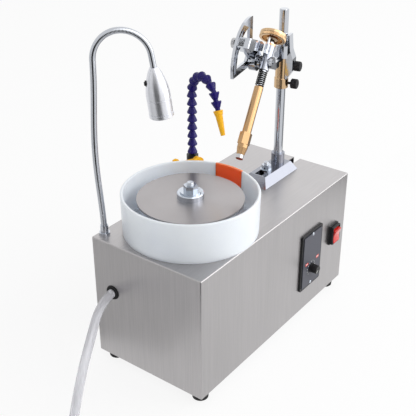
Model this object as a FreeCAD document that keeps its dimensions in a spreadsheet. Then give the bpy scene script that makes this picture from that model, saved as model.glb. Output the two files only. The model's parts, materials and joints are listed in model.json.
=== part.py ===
import FreeCAD, Part
import math
import os
import re

import Sketcher
from FreeCAD import Placement, Rotation, Vector

# Bench flat-lap grinder with a splash bowl and a faceting manipulator.
# Frame: +Z up, X along the cabinet, controls on the -Y side, lap at the -X end.
# The origin is on the floor under the middle of the cabinet. Millimetres and degrees.

SIZES = {
    # cabinet, folded from sheet
    "cab_length": 390,
    "cab_width": 190,
    "cab_height": 194,
    "sheet": 1.5,
    "fold_radius": 2,
    "lip": 26,
    "floor_sheet": 2,
    "floor_rim": 14,
    "foot_height": 15,
    "foot_radius": 12.5,
    "foot_taper": 1,
    "foot_inset_x": 19,
    "foot_inset_y": 16.5,
    "foot_bore": 2.6,
    "foot_recess": 5.2,
    "foot_head": 4.7,
    "foot_screw_reach": 5,
    "slot_width": 12,
    "slot_start": 68,
    "slot_drop": 32,
    # clearances
    "run_gap": 0.05,
    "fit_gap": 0.02,
    "slide_gap": 0.2,
    "clear_gap": 0.4,
    # small edges, laps between joined forms and the overshoot of a cut
    "chamfer": 1,
    "edge": 0.6,
    "lap_over": 1,
    # splash bowl and its lift-out gate
    "lap_offset": 93,
    "bowl_radius": 97,
    "bowl_draft": 1,
    "bowl_wall": 4,
    "bowl_height": 59,
    "bowl_floor": 5,
    "pipe_radius": 20,
    "pipe_wall": 3,
    "pipe_height": 26,
    "gate_half": 14.5,
    "gate_depth": 40,
    "gate_gap": 0.3,
    "drain_radius": 80,
    "spigot_radius": 6.5,
    "spigot_flange": 10,
    "spigot_drop": 29,
    "spigot_bore": 4.25,
    "spigot_lead": 2,
    "spigot_rim": 1.5,
    # lap, its clamp stack and the motor
    "lap_radius": 75,
    "lap_thick": 3,
    "lap_level": 48.5,
    "support_radius": 70,
    "support_thick": 8,
    "hub_radius": 14,
    "hub_drop": 8,
    "flange_radius": 19,
    "flange_thick": 8.5,
    "washer_radius": 15,
    "washer_thick": 2,
    "lap_nut_flats": 17,
    "lap_nut_height": 8.5,
    "stud_radius": 5,
    "stud_reach": 4.5,
    "stud_seat": 2,
    "spindle_step": 1,
    "motor_radius": 45,
    "motor_wall": 3,
    "motor_height": 96,
    "motor_plate": 4,
    "motor_plate_half": 52,
    "motor_plate_round": 8,
    "bearing_radius": 16,
    "bearing_width": 10,
    "bearing_lip": 4,
    "bearing_cover": 2,
    "bearing_wall": 8,
    "end_cap_height": 8,
    "end_cap_edge": 2,
    "stator_height": 48,
    "rotor_radius": 26,
    # drain hose and its grommet
    "hose_hole_y": 61,
    "hose_hole_drop": 79.4,
    "hose_radius": 6.25,
    "hose_bend": 38,
    "grommet_radius": 8.5,
    "grommet_flange": 11,
    "grommet_lip": 2.2,
    "hose_start": 1,
    "coil_radius": 77,
    "coil_gap": 1.5,
    # manipulator column and its sliding foot
    "column_x": 133,
    "column_radius": 7,
    "column_top": 456,
    "base_front": 66,
    "base_back": 159,
    "base_half": 22,
    "base_height": 15,
    "base_slope_x": 9.5,
    "base_slope_y": 8,
    "boss_radius": 10.5,
    "boss_height": 18,
    "boss_floor": 3,
    "bolt_x": 100,
    "bolt_radius": 4,
    "bolt_reach": 5,
    "bolt_slot": 13,
    "bolt_slot_edge": 2,
    "bolt_slot_room": 4,
    "bolt_head_radius": 7.2,
    "bolt_head_height": 5,
    "bolt_nut_flats": 13,
    "bolt_nut_height": 7,
    "bolt_washer": 9,
    "bolt_washer_thick": 1.8,
    "clamp_half": 15,
    "clamp_thick": 4,
    # height collar and swivel block
    "collar_level": 336,
    "collar_radius": 10.75,
    "collar_height": 16,
    "collar_edge": 0.7,
    "collar_knob_reach": 5,
    "tip_gap": 0.3,
    "swing_tip_gap": 1.2,
    "sleeve_radius": 9.8,
    "sleeve_height": 31.8,
    "swing_angle": 12.5,
    "ring_radius": 13,
    "ring_height": 19,
    "cheek_half": 8,
    "cheek_top": 419,
    "cheek_thin": 12.2,
    "cheek_wide": 19,
    "cheek_skirt": 13,
    "cheek_step": 12,
    "cheek_taper": 2,
    "knob_radius": 7.5,
    "knob_length": 10.5,
    "knob_screw": 2,
    "knob_edge": 1.5,
    "swing_knob_rise": 20,
    # hinge, protractor and pointer
    "hinge_reach": 71,
    "hinge_level": 396.7,
    "hinge_radius": 3,
    "arm_half": 6,
    "arm_drop": 12.7,
    "arm_height": 10,
    "fork_half": 11.5,
    "fork_gap": 7.5,
    "fork_back": 13,
    "fork_root": 12,
    "ear_radius": 8.5,
    "plate_near": 24.5,
    "plate_thick": 4,
    "prot_radius": 62,
    "prot_edge": 9,
    "prot_inner": 49,
    "prot_web": 2,
    "prot_hub": 13,
    "lock_radius": 55.5,
    "lock_slot": 2.6,
    "lock_low": -4,
    "lock_high": 64,
    "bracket_front": 15,
    "bracket_back": 27,
    "bracket_sink": 0.5,
    "drum_radius": 14,
    "drum_near": 12,
    "drum_far": 22,
    "drum_sink": 3,
    "pointer_half": 4.5,
    "pointer_thick": 5,
    "pointer_end": 61,
    "pointer_block": 5.5,
    "pointer_block_side": 1,
    "pointer_block_step": 2,
    "pin_near": 5.5,
    "pin_far": 2,
    "lock_knob_radius": 7,
    "lock_knob_thick": 6,
    "lock_screw_in": 3,
    # quill, measured along its axis from the hinge
    "quill_angle": 40.4,
    "housing_radius": 7,
    "housing_top": 24,
    "housing_low": 12.7,
    "boss_flat": 7.2,
    "boss_step": 0.5,
    "lug_half": 3.5,
    "lug_height": 8,
    "lug_drop": 2,
    "pin_head": 6,
    "bush_height": 3,
    "bush_radius": 7.4,
    "shaft_radius": 4.5,
    "wheel_radius": 19.2,
    "wheel_low": 35,
    "wheel_high": 44,
    "wheel_hub": 8,
    "wheel_rim": 4,
    "wheel_recess": 5,
    "shaft_button": 6,
    "shaft_button_height": 3,
    "shaft_nose": 6,
    "pin_radius": 1.6,
    "pin_offset": 11,
    "spring_wire": 1.6,
    "spring_mean": 5.7,
    "spring_turns": 8,
    "tube_radius": 6.5,
    "tube_top": 37.6,
    "tube_end": 107,
    "collet_flats": 15.4,
    "collet_end": 124,
    "nose_radius": 7.6,
    "nose_tip": 5.6,
    "nose_end": 139,
    "nose_straight": 5,
    "dop_radius": 5.2,
    "dop_shank": 3,
    "dop_end": 145.5,
    # coolant hose and valve
    "cool_x": 15,
    "cool_y": 80,
    "cool_turn": 248.9,
    "valve_radius": 9,
    "valve_height": 37,
    "valve_stem": 7,
    "valve_stem_drop": 16,
    "valve_collar": 3,
    "valve_collar_step": 1,
    "valve_waist": 7.5,
    "valve_head_low": 10,
    "valve_head_high": 14,
    "valve_cone": 3,
    "valve_spout": 6,
    "valve_nut": 20,
    "valve_nut_height": 7,
    "handle_turn": -25,
    "handle_level": 46,
    "handle_long": 36,
    "handle_short": 10,
    "handle_half": 4,
    "handle_thick": 5,
    "handle_hub": 7,
    "handle_stem": 6,
    "handle_stem_reach": 3,
    "cool_rise": 151,
    "cool_bend": 33,
    "cool_lean": 22.5,
    "cool_tail": 18,
    "segments": 16,
    "segment_radius": 7.5,
    "segment_neck": 3.6,
    "segment_socket": 4.5,
    "segment_socket_depth": 4,
    "segment_seam": 0.5,
    "segment_band": 3.5,
    "segment_cone": 7,
    "segment_cone_step": 1.2,
    "segment_throat": 10,
    "segment_end": 15,
    "nozzle_length": 38,
    "nozzle_flange": 8.5,
    "nozzle_tip": 3,
    "nozzle_wall": 1,
    "nozzle_band": 9,
    "nozzle_step": 1.5,
    "nozzle_waist": 2,
    "nozzle_tip_length": 7,
    "nozzle_socket": 5.5,
    "nozzle_throat": 8,
    # lamp on its gooseneck
    "lamp_x": -178,
    "lamp_y": 86,
    "lamp_turn": -42.3,
    "goose_radius": 4.25,
    "fitting_wall": 1,
    "fitting_depth": 12,
    "fitting_flange": 3.5,
    "fitting_flange_thick": 3,
    "fitting_sleeve": 1.4,
    "fitting_height": 14,
    "goose_top": 480.4,
    "goose_bend": 37,
    "goose_tail": 18,
    "goose_in": 7,
    "lamp_tilt": 7.5,
    "lamp_radius": 16,
    "lamp_length": 67.6,
    "lamp_shoulder": 40,
    "lamp_wall": 2.4,
    "lamp_neck": 3,
    "lamp_neck_edge": 1.5,
    "lamp_neck_mid": 18,
    "lamp_mid_radius": 11.5,
    "lamp_crown": 28.8,
    "lamp_crown_radius": 14.4,
    "lamp_bezel": 5,
    "lamp_bezel_step": 0.4,
    "lamp_groove": 0.6,
    "lamp_cup_radius": 6,
    "lamp_cup": 8,
    "lens_inset": 2,
    "lens_thick": 4,
    "lens_dish": 4,
    "lens_edge": 1,
    "socket_room": 0.2,
    "button_drop": 20,
    "button_radius": 2.6,
    "button_reach": 15.5,
    "button_collar": 1.6,
    "button_collar_drop": 2,
    "button_root": 5,
    "button_hole": 7,
    "button_length": 5,
    # front controls and the cable gland at the back
    "panel_x": 86,
    "panel_z": 89.5,
    "panel_width": 60,
    "panel_height": 100,
    "panel_proud": 3,
    "panel_round": 3,
    "panel_depth": 43,
    "panel_rim": 5,
    "panel_lip": 1,
    "face_round": 1.5,
    "face_recess": 1,
    "face_thick": 2.3,
    "dial_x": 85,
    "dial_z": 73,
    "dial_radius": 8,
    "dial_length": 12.5,
    "dial_shaft": 3,
    "dial_shaft_room": 1,
    "dial_shaft_in": 10,
    "dial_hole": 12,
    "dial_skirt": 2,
    "rocker_x": 156,
    "rocker_z": 101,
    "rocker_width": 26,
    "rocker_height": 34,
    "rocker_frame": 3.3,
    "rocker_depth": 24,
    "rocker_tilt": 7,
    "rocker_pivot": 4,
    "rocker_flange": 2,
    "rocker_hole": 12,
    "rocker_pin": 1.5,
    "rocker_pin_reach": 1,
    "rocker_end_gap": 1.8,
    "rocker_proud": 0.6,
    "rocker_hollow": 1.8,
    "rocker_end_slope": 0.2,
    "rocker_back": 4,
    "rocker_shoulder": 1,
    "gland_x": 120,
    "gland_z": 40,
    "gland_radius": 8,
    "gland_nut": 11,
    "gland_reach": 15,
    "gland_bore": 4,
    "gland_tail": 1,
    "gland_lock_nut": 6,
    "gland_grip": 9,
}

doc = FreeCAD.newDocument("flat_lap_machine")
sheet = doc.addObject("Spreadsheet::Sheet", "Sizes")
for row, (alias, value) in enumerate(SIZES.items(), start=1):
    sheet.set(f"A{row}", alias)
    sheet.set(f"B{row}", str(value))
    sheet.setAlias(f"B{row}", alias)
doc.recompute()

NODES = []


def formula(text):
    """An expression whose size names point at the sheet."""
    return re.sub(r"[a-z][a-z_]*", lambda m: "Sizes." + m[0] if m[0] in SIZES else m[0], str(text))


def size(text):
    """The number that a formula gives with the sheet's present values."""
    return float(sheet.evalExpression(formula(text)))


def at(x="0", y="0", z="0", axis="0;0;1", angle="0"):
    """A placement formula: a turn about an axis, then a shift."""
    return f"placement(vector({x};{y};{z}); rotation(vector({axis}); {angle}))"


def place(item, where):
    """Bind an object's placement to a formula."""
    item.setExpression("Placement", formula(where))


def circle(x, y, radius):
    """A round loop of a sketch."""
    return ("circle", x, y, radius)


def path(*points):
    """A closed loop. A third entry bends the edge leaving a point: its radius, minus for clockwise."""
    return ("path", points)


def box(x_low, y_low, x_high, y_high):
    """A rectangular loop."""
    return path((x_low, y_low), (x_high, y_low), (x_high, y_high), (x_low, y_high))


def rounded(x_low, y_low, x_high, y_high, r):
    """A rectangular loop with round corners."""
    return path(
        (f"{x_low} + {r}", y_low), (f"{x_high} - ({r})", y_low, r),
        (x_high, f"{y_low} + {r}"), (x_high, f"{y_high} - ({r})", r),
        (f"{x_high} - ({r})", y_high), (f"{x_low} + {r}", y_high, r),
        (x_low, f"{y_high} - ({r})"), (x_low, f"{y_low} + {r}", r),
    )


def hexagon(x, y, flats):
    """A six-sided loop given the distance across its flats."""
    corner = f"({flats}) / 2 / cos(30)"
    return path(*[(f"{x} + {corner} * cos({a})", f"{y} + {corner} * sin({a})") for a in range(0, 360, 60)])


def arc_slot(x, y, radius, half, low, high):
    """A curved slot about a centre, from one angle to another, with square ends."""
    outer, inner = f"({radius} + {half})", f"({radius} - {half})"
    corner = [(outer, low), (outer, high), (inner, high), (inner, low)]
    spots = [(f"{x} + {r} * cos({a})", f"{y} + {r} * sin({a})") for r, a in corner]
    return path((*spots[0], outer), spots[1], (*spots[2], "-" + inner), spots[3])


def arc_between(start, end, radius, clockwise):
    """The short arc between two points, as the sketch stores it: always counter-clockwise."""
    if clockwise:
        start, end = end, start
    chord = end - start
    rise = math.sqrt(max(radius**2 - chord.Length**2 / 4, 0))
    left = Vector(-chord.y, chord.x, 0).normalize()
    centre = (start + end) / 2 + left * rise
    turn = [math.atan2(p.y - centre.y, p.x - centre.x) for p in (start, end)]
    return Part.ArcOfCircle(Part.Circle(centre, Vector(0, 0, 1), radius), turn[0], turn[1])


class Piece:
    """One physical piece: a body that grows feature by feature, bound to the sheet."""

    def __init__(self, label, where=None, node=True):
        self.body = doc.addObject("PartDesign::Body", label)
        self.body.Label = label
        if where:
            place(self.body, where)
        if node:
            NODES.append(self.body)

    def pin(self, sketch, edge, end, x, y):
        """Tie one end of an edge to a spot of the sketch."""
        for kind, axis, text in (("DistanceX", -2, x), ("DistanceY", -1, y)):
            if str(text) == "0":
                sketch.addConstraint(Sketcher.Constraint("PointOnObject", edge, end, axis))
            else:
                tie = sketch.addConstraint(Sketcher.Constraint(kind, -1, 1, edge, end, size(text)))
                sketch.setExpression(f"Constraints[{tie}]", formula(text))

    def sketch(self, loops, plane, lift):
        """A sketch on one of the body's own planes, lifted along the plane's normal."""
        drawing = self.body.newObject("Sketcher::SketchObject", self.body.Label + "_sketch")
        base = next(f for f in self.body.Origin.OriginFeatures if f.Role == plane + "_Plane")
        drawing.AttachmentSupport = [(base, "")]
        drawing.MapMode = "FlatFace"
        drawing.setExpression("AttachmentOffset.Base.z", formula(lift))
        for kind, *loop in loops:
            if kind == "circle":
                x, y, radius = loop
                ring = Part.Circle(Vector(size(x), size(y), 0), Vector(0, 0, 1), size(radius))
                edge = drawing.addGeometry(ring, False)
                self.pin(drawing, edge, 3, x, y)
                self.radius(drawing, edge, radius)
                continue
            self.outline(drawing, loop[0])
        return drawing

    def radius(self, sketch, edge, text):
        """Tie a round edge's radius to a formula."""
        tie = sketch.addConstraint(Sketcher.Constraint("Radius", edge, size(text)))
        sketch.setExpression(f"Constraints[{tie}]", formula(text))

    def outline(self, sketch, points):
        """Straight edges and arcs round a closed loop, every corner tied."""
        spots = [Vector(size(p[0]), size(p[1]), 0) for p in points]
        ends = []
        for i, point in enumerate(points):
            start, end = spots[i], spots[(i + 1) % len(points)]
            if len(point) == 2:
                edge = sketch.addGeometry(Part.LineSegment(start, end), False)
                ends.append((edge, 1, 2))
                continue
            clockwise = str(point[2]).startswith("-")
            reach = str(point[2]).lstrip("-")
            edge = sketch.addGeometry(arc_between(start, end, size(reach), clockwise), False)
            ends.append((edge, 2, 1) if clockwise else (edge, 1, 2))
            self.radius(sketch, edge, reach)
        for i, point in enumerate(points):
            edge, first, _ = ends[i]
            before, _, last = ends[i - 1]
            sketch.addConstraint(Sketcher.Constraint("Coincident", before, last, edge, first))
            self.pin(sketch, edge, first, point[0], point[1])

    def pad(self, loops, low, high, plane="XY"):
        """Material between two levels along the plane's world axis."""
        lift = f"-({high})" if plane == "XZ" else low
        feature = self.body.newObject("PartDesign::Pad", self.body.Label + "_pad")
        feature.Profile = self.sketch(loops, plane, lift)
        feature.setExpression("Length", formula(f"{high} - ({low})"))
        return feature

    def cut(self, loops, low, high, plane="XY"):
        """A pocket between two levels along the plane's world axis."""
        doc.recompute()
        before = self.body.Shape.Volume
        lift = f"-({low})" if plane == "XZ" else high
        feature = self.body.newObject("PartDesign::Pocket", self.body.Label + "_pocket")
        feature.Profile = self.sketch(loops, plane, lift)
        feature.setExpression("Length", formula(f"{high} - ({low})"))
        doc.recompute()
        if not self.body.Shape.Volume < before - 0.01:
            raise RuntimeError(f"a pocket of {self.body.Label} cuts nothing")
        return feature

    def turn(self, *points):
        """A turned form: its half profile, as radius and height, spun about the body's Z axis."""
        feature = self.body.newObject("PartDesign::Revolution", self.body.Label + "_turn")
        drawing = self.sketch([path(*points)], "XZ", "0")
        feature.Profile = drawing
        feature.ReferenceAxis = (drawing, ["V_Axis"])
        feature.Angle = 360
        return feature

    def loft(self, lower, upper, low, high):
        """A straight-sided form between two loops at two levels."""
        feature = self.body.newObject("PartDesign::AdditiveLoft", self.body.Label + "_loft")
        feature.Profile = self.sketch([lower], "XY", low)
        feature.Sections = [self.sketch([upper], "XY", high)]
        feature.Ruled = True
        return feature

    def fillet(self, radius, wanted):
        """Round the edges that a test picks."""
        doc.recompute()
        tip = self.body.Tip
        names = [f"Edge{i}" for i, e in enumerate(tip.Shape.Edges, start=1) if wanted(e)]
        feature = self.body.newObject("PartDesign::Fillet", self.body.Label + "_fillet")
        feature.Base = (tip, names)
        feature.setExpression("Radius", formula(radius))
        return feature


def group(label, pieces):
    """One node for identical pieces that stay separate solids."""
    item = doc.addObject("Part::Compound", label)
    item.Label = label
    item.Links = [p.body for p in pieces]
    NODES.append(item)


def shaped(label, shape, where=None):
    """A node whose shape is swept or wound rather than built from features."""
    item = doc.addObject("Part::Feature", label)
    item.Label = label
    item.Shape = shape
    if where:
        place(item, where)
    NODES.append(item)


def tube(edges, radius):
    """A round solid along a smooth chain of edges, its volume checked."""
    spine = Part.Wire(edges)
    first = edges[0]
    start = first.valueAt(first.FirstParameter)
    heading = first.tangentAt(first.FirstParameter)
    section = Part.Wire(Part.Circle(start, heading, radius).toShape())
    solid = spine.makePipeShell([section], True, False)
    expected = math.pi * radius**2 * spine.Length
    if abs(solid.Volume / expected - 1) > 0.01:
        raise RuntimeError("a tube's volume doesn't match its section and length")
    return solid


TOP = "foot_height + cab_height"
UNDER = f"{TOP} - sheet"
LAP_X = "-lap_offset"
LAP_TOP = f"{TOP} + lap_level"
HALF_L = "cab_length / 2"
HALF_W = "cab_width / 2"
FRONT = "-cab_width / 2"
DRAIN_X = "-(lap_offset + sqrt(drain_radius * drain_radius - hose_hole_y * hose_hole_y))"
HOSE_Z = f"{TOP} - hose_hole_drop"
HOSE_WALL = f"-{HALF_L} - grommet_lip"
SPINDLE = "(stud_radius + spindle_step)"
FOOT_SPOTS = [
    (f"{sx} * ({HALF_L} - foot_inset_x)", f"{sy} * ({HALF_W} - foot_inset_y)")
    for sx in (-1, 1)
    for sy in (-1, 1)
]


def cabinet():
    """Folded shell with its openings, the floor plate and the feet."""
    shell = Piece("cabinet_shell")
    roof = size(TOP)
    shell.pad([rounded(f"-{HALF_L}", f"-{HALF_W}", HALF_L, HALF_W, "fold_radius")], "foot_height", TOP)
    shell.fillet("fold_radius * 0.9", lambda e: e.BoundBox.ZMin > roof - 0.01)
    inner_x, inner_y = f"({HALF_L} - sheet)", f"({HALF_W} - sheet)"
    shell.cut([box(f"-{inner_x}", f"-{inner_y}", inner_x, inner_y)], "foot_height + sheet", UNDER)
    mouth_x, mouth_y = f"({inner_x} - lip)", f"({inner_y} - lip)"
    shell.cut([box(f"-{mouth_x}", f"-{mouth_y}", mouth_x, mouth_y)], "foot_height", "foot_height + sheet")
    shell.cut([circle(x, y, "foot_bore") for x, y in FOOT_SPOTS], "foot_height", "foot_height + sheet")
    round_holes = [
        circle(LAP_X, "0", "pipe_radius"),
        circle(DRAIN_X, "hose_hole_y", "spigot_radius + fit_gap"),
        circle("lamp_x", "lamp_y", "goose_radius + fitting_wall"),
        circle("cool_x", "cool_y", "valve_stem + fit_gap"),
    ]
    shell.cut(round_holes, UNDER, TOP)
    slot = "slot_width / 2"
    track = box("slot_start", f"-{slot}", f"{HALF_L} + lap_over", slot)
    shell.cut([track], f"{TOP} - slot_drop", f"{TOP} + lap_over")
    hose_hole = circle("hose_hole_y", HOSE_Z, "grommet_radius + clear_gap")
    shell.cut([hose_hole], f"-{HALF_L}", f"-{inner_x}", "YZ")
    case_x, case_z = "(panel_width / 2 - panel_rim)", "(panel_height / 2 - panel_rim)"
    rock_x, rock_z = "(rocker_width / 2 - rocker_flange)", "(rocker_height / 2 - rocker_flange)"
    middle, rock = "(foot_height + panel_z)", "(foot_height + rocker_z)"
    front_holes = [
        box(f"panel_x - {case_x}", f"{middle} - {case_z}", f"panel_x + {case_x}", f"{middle} + {case_z}"),
        box(f"rocker_x - {rock_x}", f"{rock} - {rock_z}", f"rocker_x + {rock_x}", f"{rock} + {rock_z}"),
    ]
    shell.cut(front_holes, FRONT, f"-{inner_y}", "XZ")
    shell.cut([circle("gland_x", "foot_height + gland_z", "gland_radius + fit_gap")], inner_y, HALF_W, "XZ")

    floor = Piece("base_plate")
    edge_x, edge_y = f"({inner_x} - clear_gap)", f"({inner_y} - clear_gap)"
    low = "foot_height + sheet"
    floor.pad([box(f"-{edge_x}", f"-{edge_y}", edge_x, edge_y)], low, f"{low} + floor_rim")
    well_x, well_y = f"({edge_x} - floor_sheet)", f"({edge_y} - floor_sheet)"
    floor.cut([box(f"-{well_x}", f"-{well_y}", well_x, well_y)], f"{low} + floor_sheet", f"{low} + floor_rim")
    floor.cut([circle(x, y, "foot_bore") for x, y in FOOT_SPOTS], low, f"{low} + floor_sheet")

    feet, screws = [], []
    head, reach = "foot_head", "foot_height + sheet + floor_sheet + foot_screw_reach"
    for number, (x, y) in enumerate(FOOT_SPOTS, start=1):
        foot = Piece(f"foot_{number}", at(x, y), node=False)
        foot.turn(
            ("foot_bore", "foot_height / 2"), ("foot_recess", "foot_height / 2"), ("foot_recess", "0"),
            ("foot_radius - foot_taper * 2", "0"), ("foot_radius - foot_taper", "foot_taper"),
            ("foot_radius", "foot_height"), ("foot_bore", "foot_height"),
        )
        feet.append(foot)
        screw = Piece(f"foot_screw_{number}", at(x, y), node=False)
        screw.turn(
            ("0", "foot_height / 4"), (head, "foot_height / 4"), (head, "foot_height / 2"),
            ("foot_bore - fit_gap", "foot_height / 2"), ("foot_bore - fit_gap", reach), ("0", reach),
        )
        screws.append(screw)
    group("rubber_feet", feet)
    group("foot_screws", screws)


def motor():
    """Motor hung from the top panel, with its bearings and wound core."""
    axis = at(LAP_X, "0", f"{UNDER} - motor_plate")
    plate = Piece("motor_mount", axis)
    half = "motor_plate_half"
    outline = rounded(f"-{half}", f"-{half}", half, half, "motor_plate_round")
    plate.pad([outline, circle("0", "0", "pipe_radius")], "0", "motor_plate")
    seat, wall = "(bearing_radius + fit_gap)", "(motor_radius - motor_wall)"
    top, end = "bearing_cover", "motor_height"
    lip, boss = "bearing_radius - bearing_lip", "bearing_radius + bearing_wall"
    deep = f"-{top} - bearing_width"
    rise = f"end_cap_height - {end}"
    can = Piece("motor_can", axis)
    can.turn(
        (lip, "0"), ("motor_radius", "0"), ("motor_radius", f"-{end}"), (wall, f"-{end}"),
        (wall, "-motor_wall"), (boss, "-motor_wall"), (boss, deep), (seat, deep),
        (seat, f"-{top}"), (lip, f"-{top}"),
    )
    cap = Piece("motor_end_cap", axis)
    cap.turn(
        ("0", f"-{end} - end_cap_height"), ("motor_radius - end_cap_edge", f"-{end} - end_cap_height"),
        ("motor_radius", f"end_cap_edge - {end} - end_cap_height"), ("motor_radius", f"-{end}"),
        (boss, f"-{end}"), (boss, rise), (seat, rise), (seat, f"{rise} - bearing_width"),
        ("0", f"{rise} - bearing_width"),
    )
    bearings, race = [], f"{SPINDLE} + run_gap"
    for name, level in (("upper_bearing", deep), ("lower_bearing", f"{rise} - bearing_width")):
        ring = Piece(name, axis, node=False)
        ring.turn(
            (race, level), ("bearing_radius", level),
            ("bearing_radius", f"{level} + bearing_width"), (race, f"{level} + bearing_width"),
        )
        bearings.append(ring)
    group("motor_bearings", bearings)
    core_low, core_high = f"-{end} / 2 - stator_height / 2", f"-{end} / 2 + stator_height / 2"
    stator = Piece("motor_stator", axis)
    stator.turn(
        ("rotor_radius + clear_gap", core_low), (f"{wall} - fit_gap", core_low),
        (f"{wall} - fit_gap", core_high), ("rotor_radius + clear_gap", core_high),
    )
    rotor = Piece("motor_rotor", axis)
    rotor.turn(
        (f"{SPINDLE} + fit_gap", core_low), ("rotor_radius", core_low),
        ("rotor_radius", core_high), (f"{SPINDLE} + fit_gap", core_high),
    )


def lap_stack():
    """Spindle, support plate, lap and the stack that clamps it."""
    axis = at(LAP_X)
    tip = f"{LAP_TOP} + flange_thick + washer_thick + lap_nut_height + stud_reach"
    foot = f"{UNDER} - motor_plate - motor_height + end_cap_height - bearing_width + clear_gap"
    seat = f"{LAP_TOP} - lap_thick"
    low = f"{seat} - support_thick"
    step = f"{seat} - stud_seat"
    spindle = Piece("spindle", axis)
    spindle.turn(
        ("0", foot), (SPINDLE, foot), (SPINDLE, step), ("stud_radius", step),
        ("stud_radius", f"{tip} - chamfer"), ("stud_radius - chamfer", tip), ("0", tip),
    )
    bore, hole = f"{SPINDLE} + fit_gap", "stud_radius + fit_gap"
    support = Piece("lap_support", axis)
    support.turn(
        (bore, f"{low} - hub_drop"), ("hub_radius", f"{low} - hub_drop"), ("hub_radius", low),
        ("support_radius", low), ("support_radius", seat), (hole, seat), (hole, f"{step} + fit_gap"),
        (bore, f"{step} + fit_gap"),
    )
    lap = Piece("lap_disc", axis)
    lap.turn((hole, seat), ("lap_radius", seat), ("lap_radius", LAP_TOP), (hole, LAP_TOP))
    flange_top = f"{LAP_TOP} + flange_thick"
    flange = Piece("lap_flange", axis)
    flange.turn(
        (hole, LAP_TOP), ("flange_radius", LAP_TOP), ("flange_radius", f"{flange_top} - chamfer"),
        ("flange_radius - chamfer", flange_top), (hole, flange_top),
    )
    washer_top = f"{flange_top} + washer_thick"
    washer = Piece("lap_washer", axis)
    washer.pad([circle("0", "0", "washer_radius"), circle("0", "0", hole)], flange_top, washer_top)
    nut = Piece("lap_nut", axis)
    nut_top = f"{washer_top} + lap_nut_height"
    nut.pad([hexagon("0", "0", "lap_nut_flats"), circle("0", "0", hole)], washer_top, nut_top)


def bowl():
    """Splash bowl with its stand pipe, the lift-out gate, the drain spigot, inner hose and grommet."""
    axis = at(LAP_X, "0", TOP)
    rim, inside = "bowl_height", "(bowl_radius - bowl_wall)"
    pipe = "pipe_radius + pipe_wall"
    dish = Piece("splash_bowl", axis)
    dish.turn(
        ("pipe_radius", "0"), ("bowl_radius - bowl_draft", "0"), ("bowl_radius", f"{rim} - chamfer"),
        ("bowl_radius - chamfer", rim), (f"{inside} + chamfer", rim), (inside, f"{rim} - chamfer"),
        (f"{inside} - bowl_draft", "bowl_floor"), (pipe, "bowl_floor"), (pipe, "pipe_height"),
        ("pipe_radius", "pipe_height"),
    )
    sill = f"{rim} - gate_depth"
    far = "(bowl_radius + bowl_wall * 2)"
    side_x, side_y = f"{far} * cos(gate_half)", f"{far} * sin(gate_half)"
    near_x, near_y = f"{inside} * cos(gate_half) / 2", f"{inside} * sin(gate_half) / 2"
    notch = path((near_x, f"-{near_y}"), (side_x, f"-{side_y}"), (side_x, side_y), (near_x, near_y))
    dish.cut([notch], sill, f"{rim} + lap_over")
    dish.cut([circle(f"{DRAIN_X} + lap_offset", "hose_hole_y", "spigot_radius + fit_gap")], "0", "bowl_floor")

    gate = Piece("splash_gate", axis)
    arc = "gate_half - gate_gap / bowl_radius * 180 / pi"
    mid = "(bowl_radius - bowl_wall / 2 - bowl_draft / 2)"
    band = arc_slot("0", "0", mid, "(bowl_wall / 2)", f"-({arc})", arc)
    gate.pad([band], f"{sill} + gate_gap", rim)

    spigot = Piece("drain_spigot", at(DRAIN_X, "hose_hole_y", TOP))
    spigot.turn(
        ("spigot_bore", "-spigot_drop"), ("hose_radius", "-spigot_drop"),
        ("spigot_radius", "spigot_lead - spigot_drop"), ("spigot_radius", "bowl_floor"),
        ("spigot_flange", "bowl_floor"), ("spigot_flange - chamfer", "bowl_floor + spigot_rim"),
        ("spigot_bore", "bowl_floor + spigot_rim"),
    )
    drop = Vector(size(DRAIN_X), size("hose_hole_y"), size(f"{TOP} - spigot_drop"))
    level = size(HOSE_Z)
    bend = size("hose_bend")
    wall = size(HOSE_WALL)
    corner = Vector(drop.x - bend, drop.y, level + bend)
    middle = corner + Vector(math.sin(math.pi / 4), 0, -math.sin(math.pi / 4)) * bend
    lower = Vector(corner.x, drop.y, level)
    side = Vector(drop.x, drop.y, corner.z)
    edges = [
        Part.LineSegment(drop, side).toShape(),
        Part.Arc(side, middle, lower).toShape(),
        Part.LineSegment(lower, Vector(wall, drop.y, level)).toShape(),
    ]
    shaped("drain_hose_inner", tube(edges, size("hose_radius")))

    ring = Piece("hose_grommet", at(f"-{HALF_L}", "hose_hole_y", HOSE_Z, "0;1;0", "90"))
    bore = "hose_radius + fit_gap"
    ring.turn(
        (bore, "-grommet_lip"), ("grommet_flange - chamfer", "-grommet_lip"), ("grommet_flange", "0"),
        ("grommet_radius", "0"), ("grommet_radius", "sheet"), ("grommet_flange", "sheet"),
        ("grommet_flange", "sheet + grommet_lip"), (bore, "sheet + grommet_lip"),
    )


# Drain hose route outside the cabinet, down to the floor and along to its coil.
# Each point is its distance from the grommet along X and Y, and its height.
HOSE_ROUTE = [
    (-30.8, -5, 127.5), (-63.8, -25, 116.5), (-100.8, -44, 100), (-132.8, -57.5, 66),
    (-153.8, -66.5, 31), (-189.8, -81.8, 6.4), (-229.3, -98.5, 6.4),
]
COIL_QUARTERS = 7
COIL_SAMPLES = 24


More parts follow.
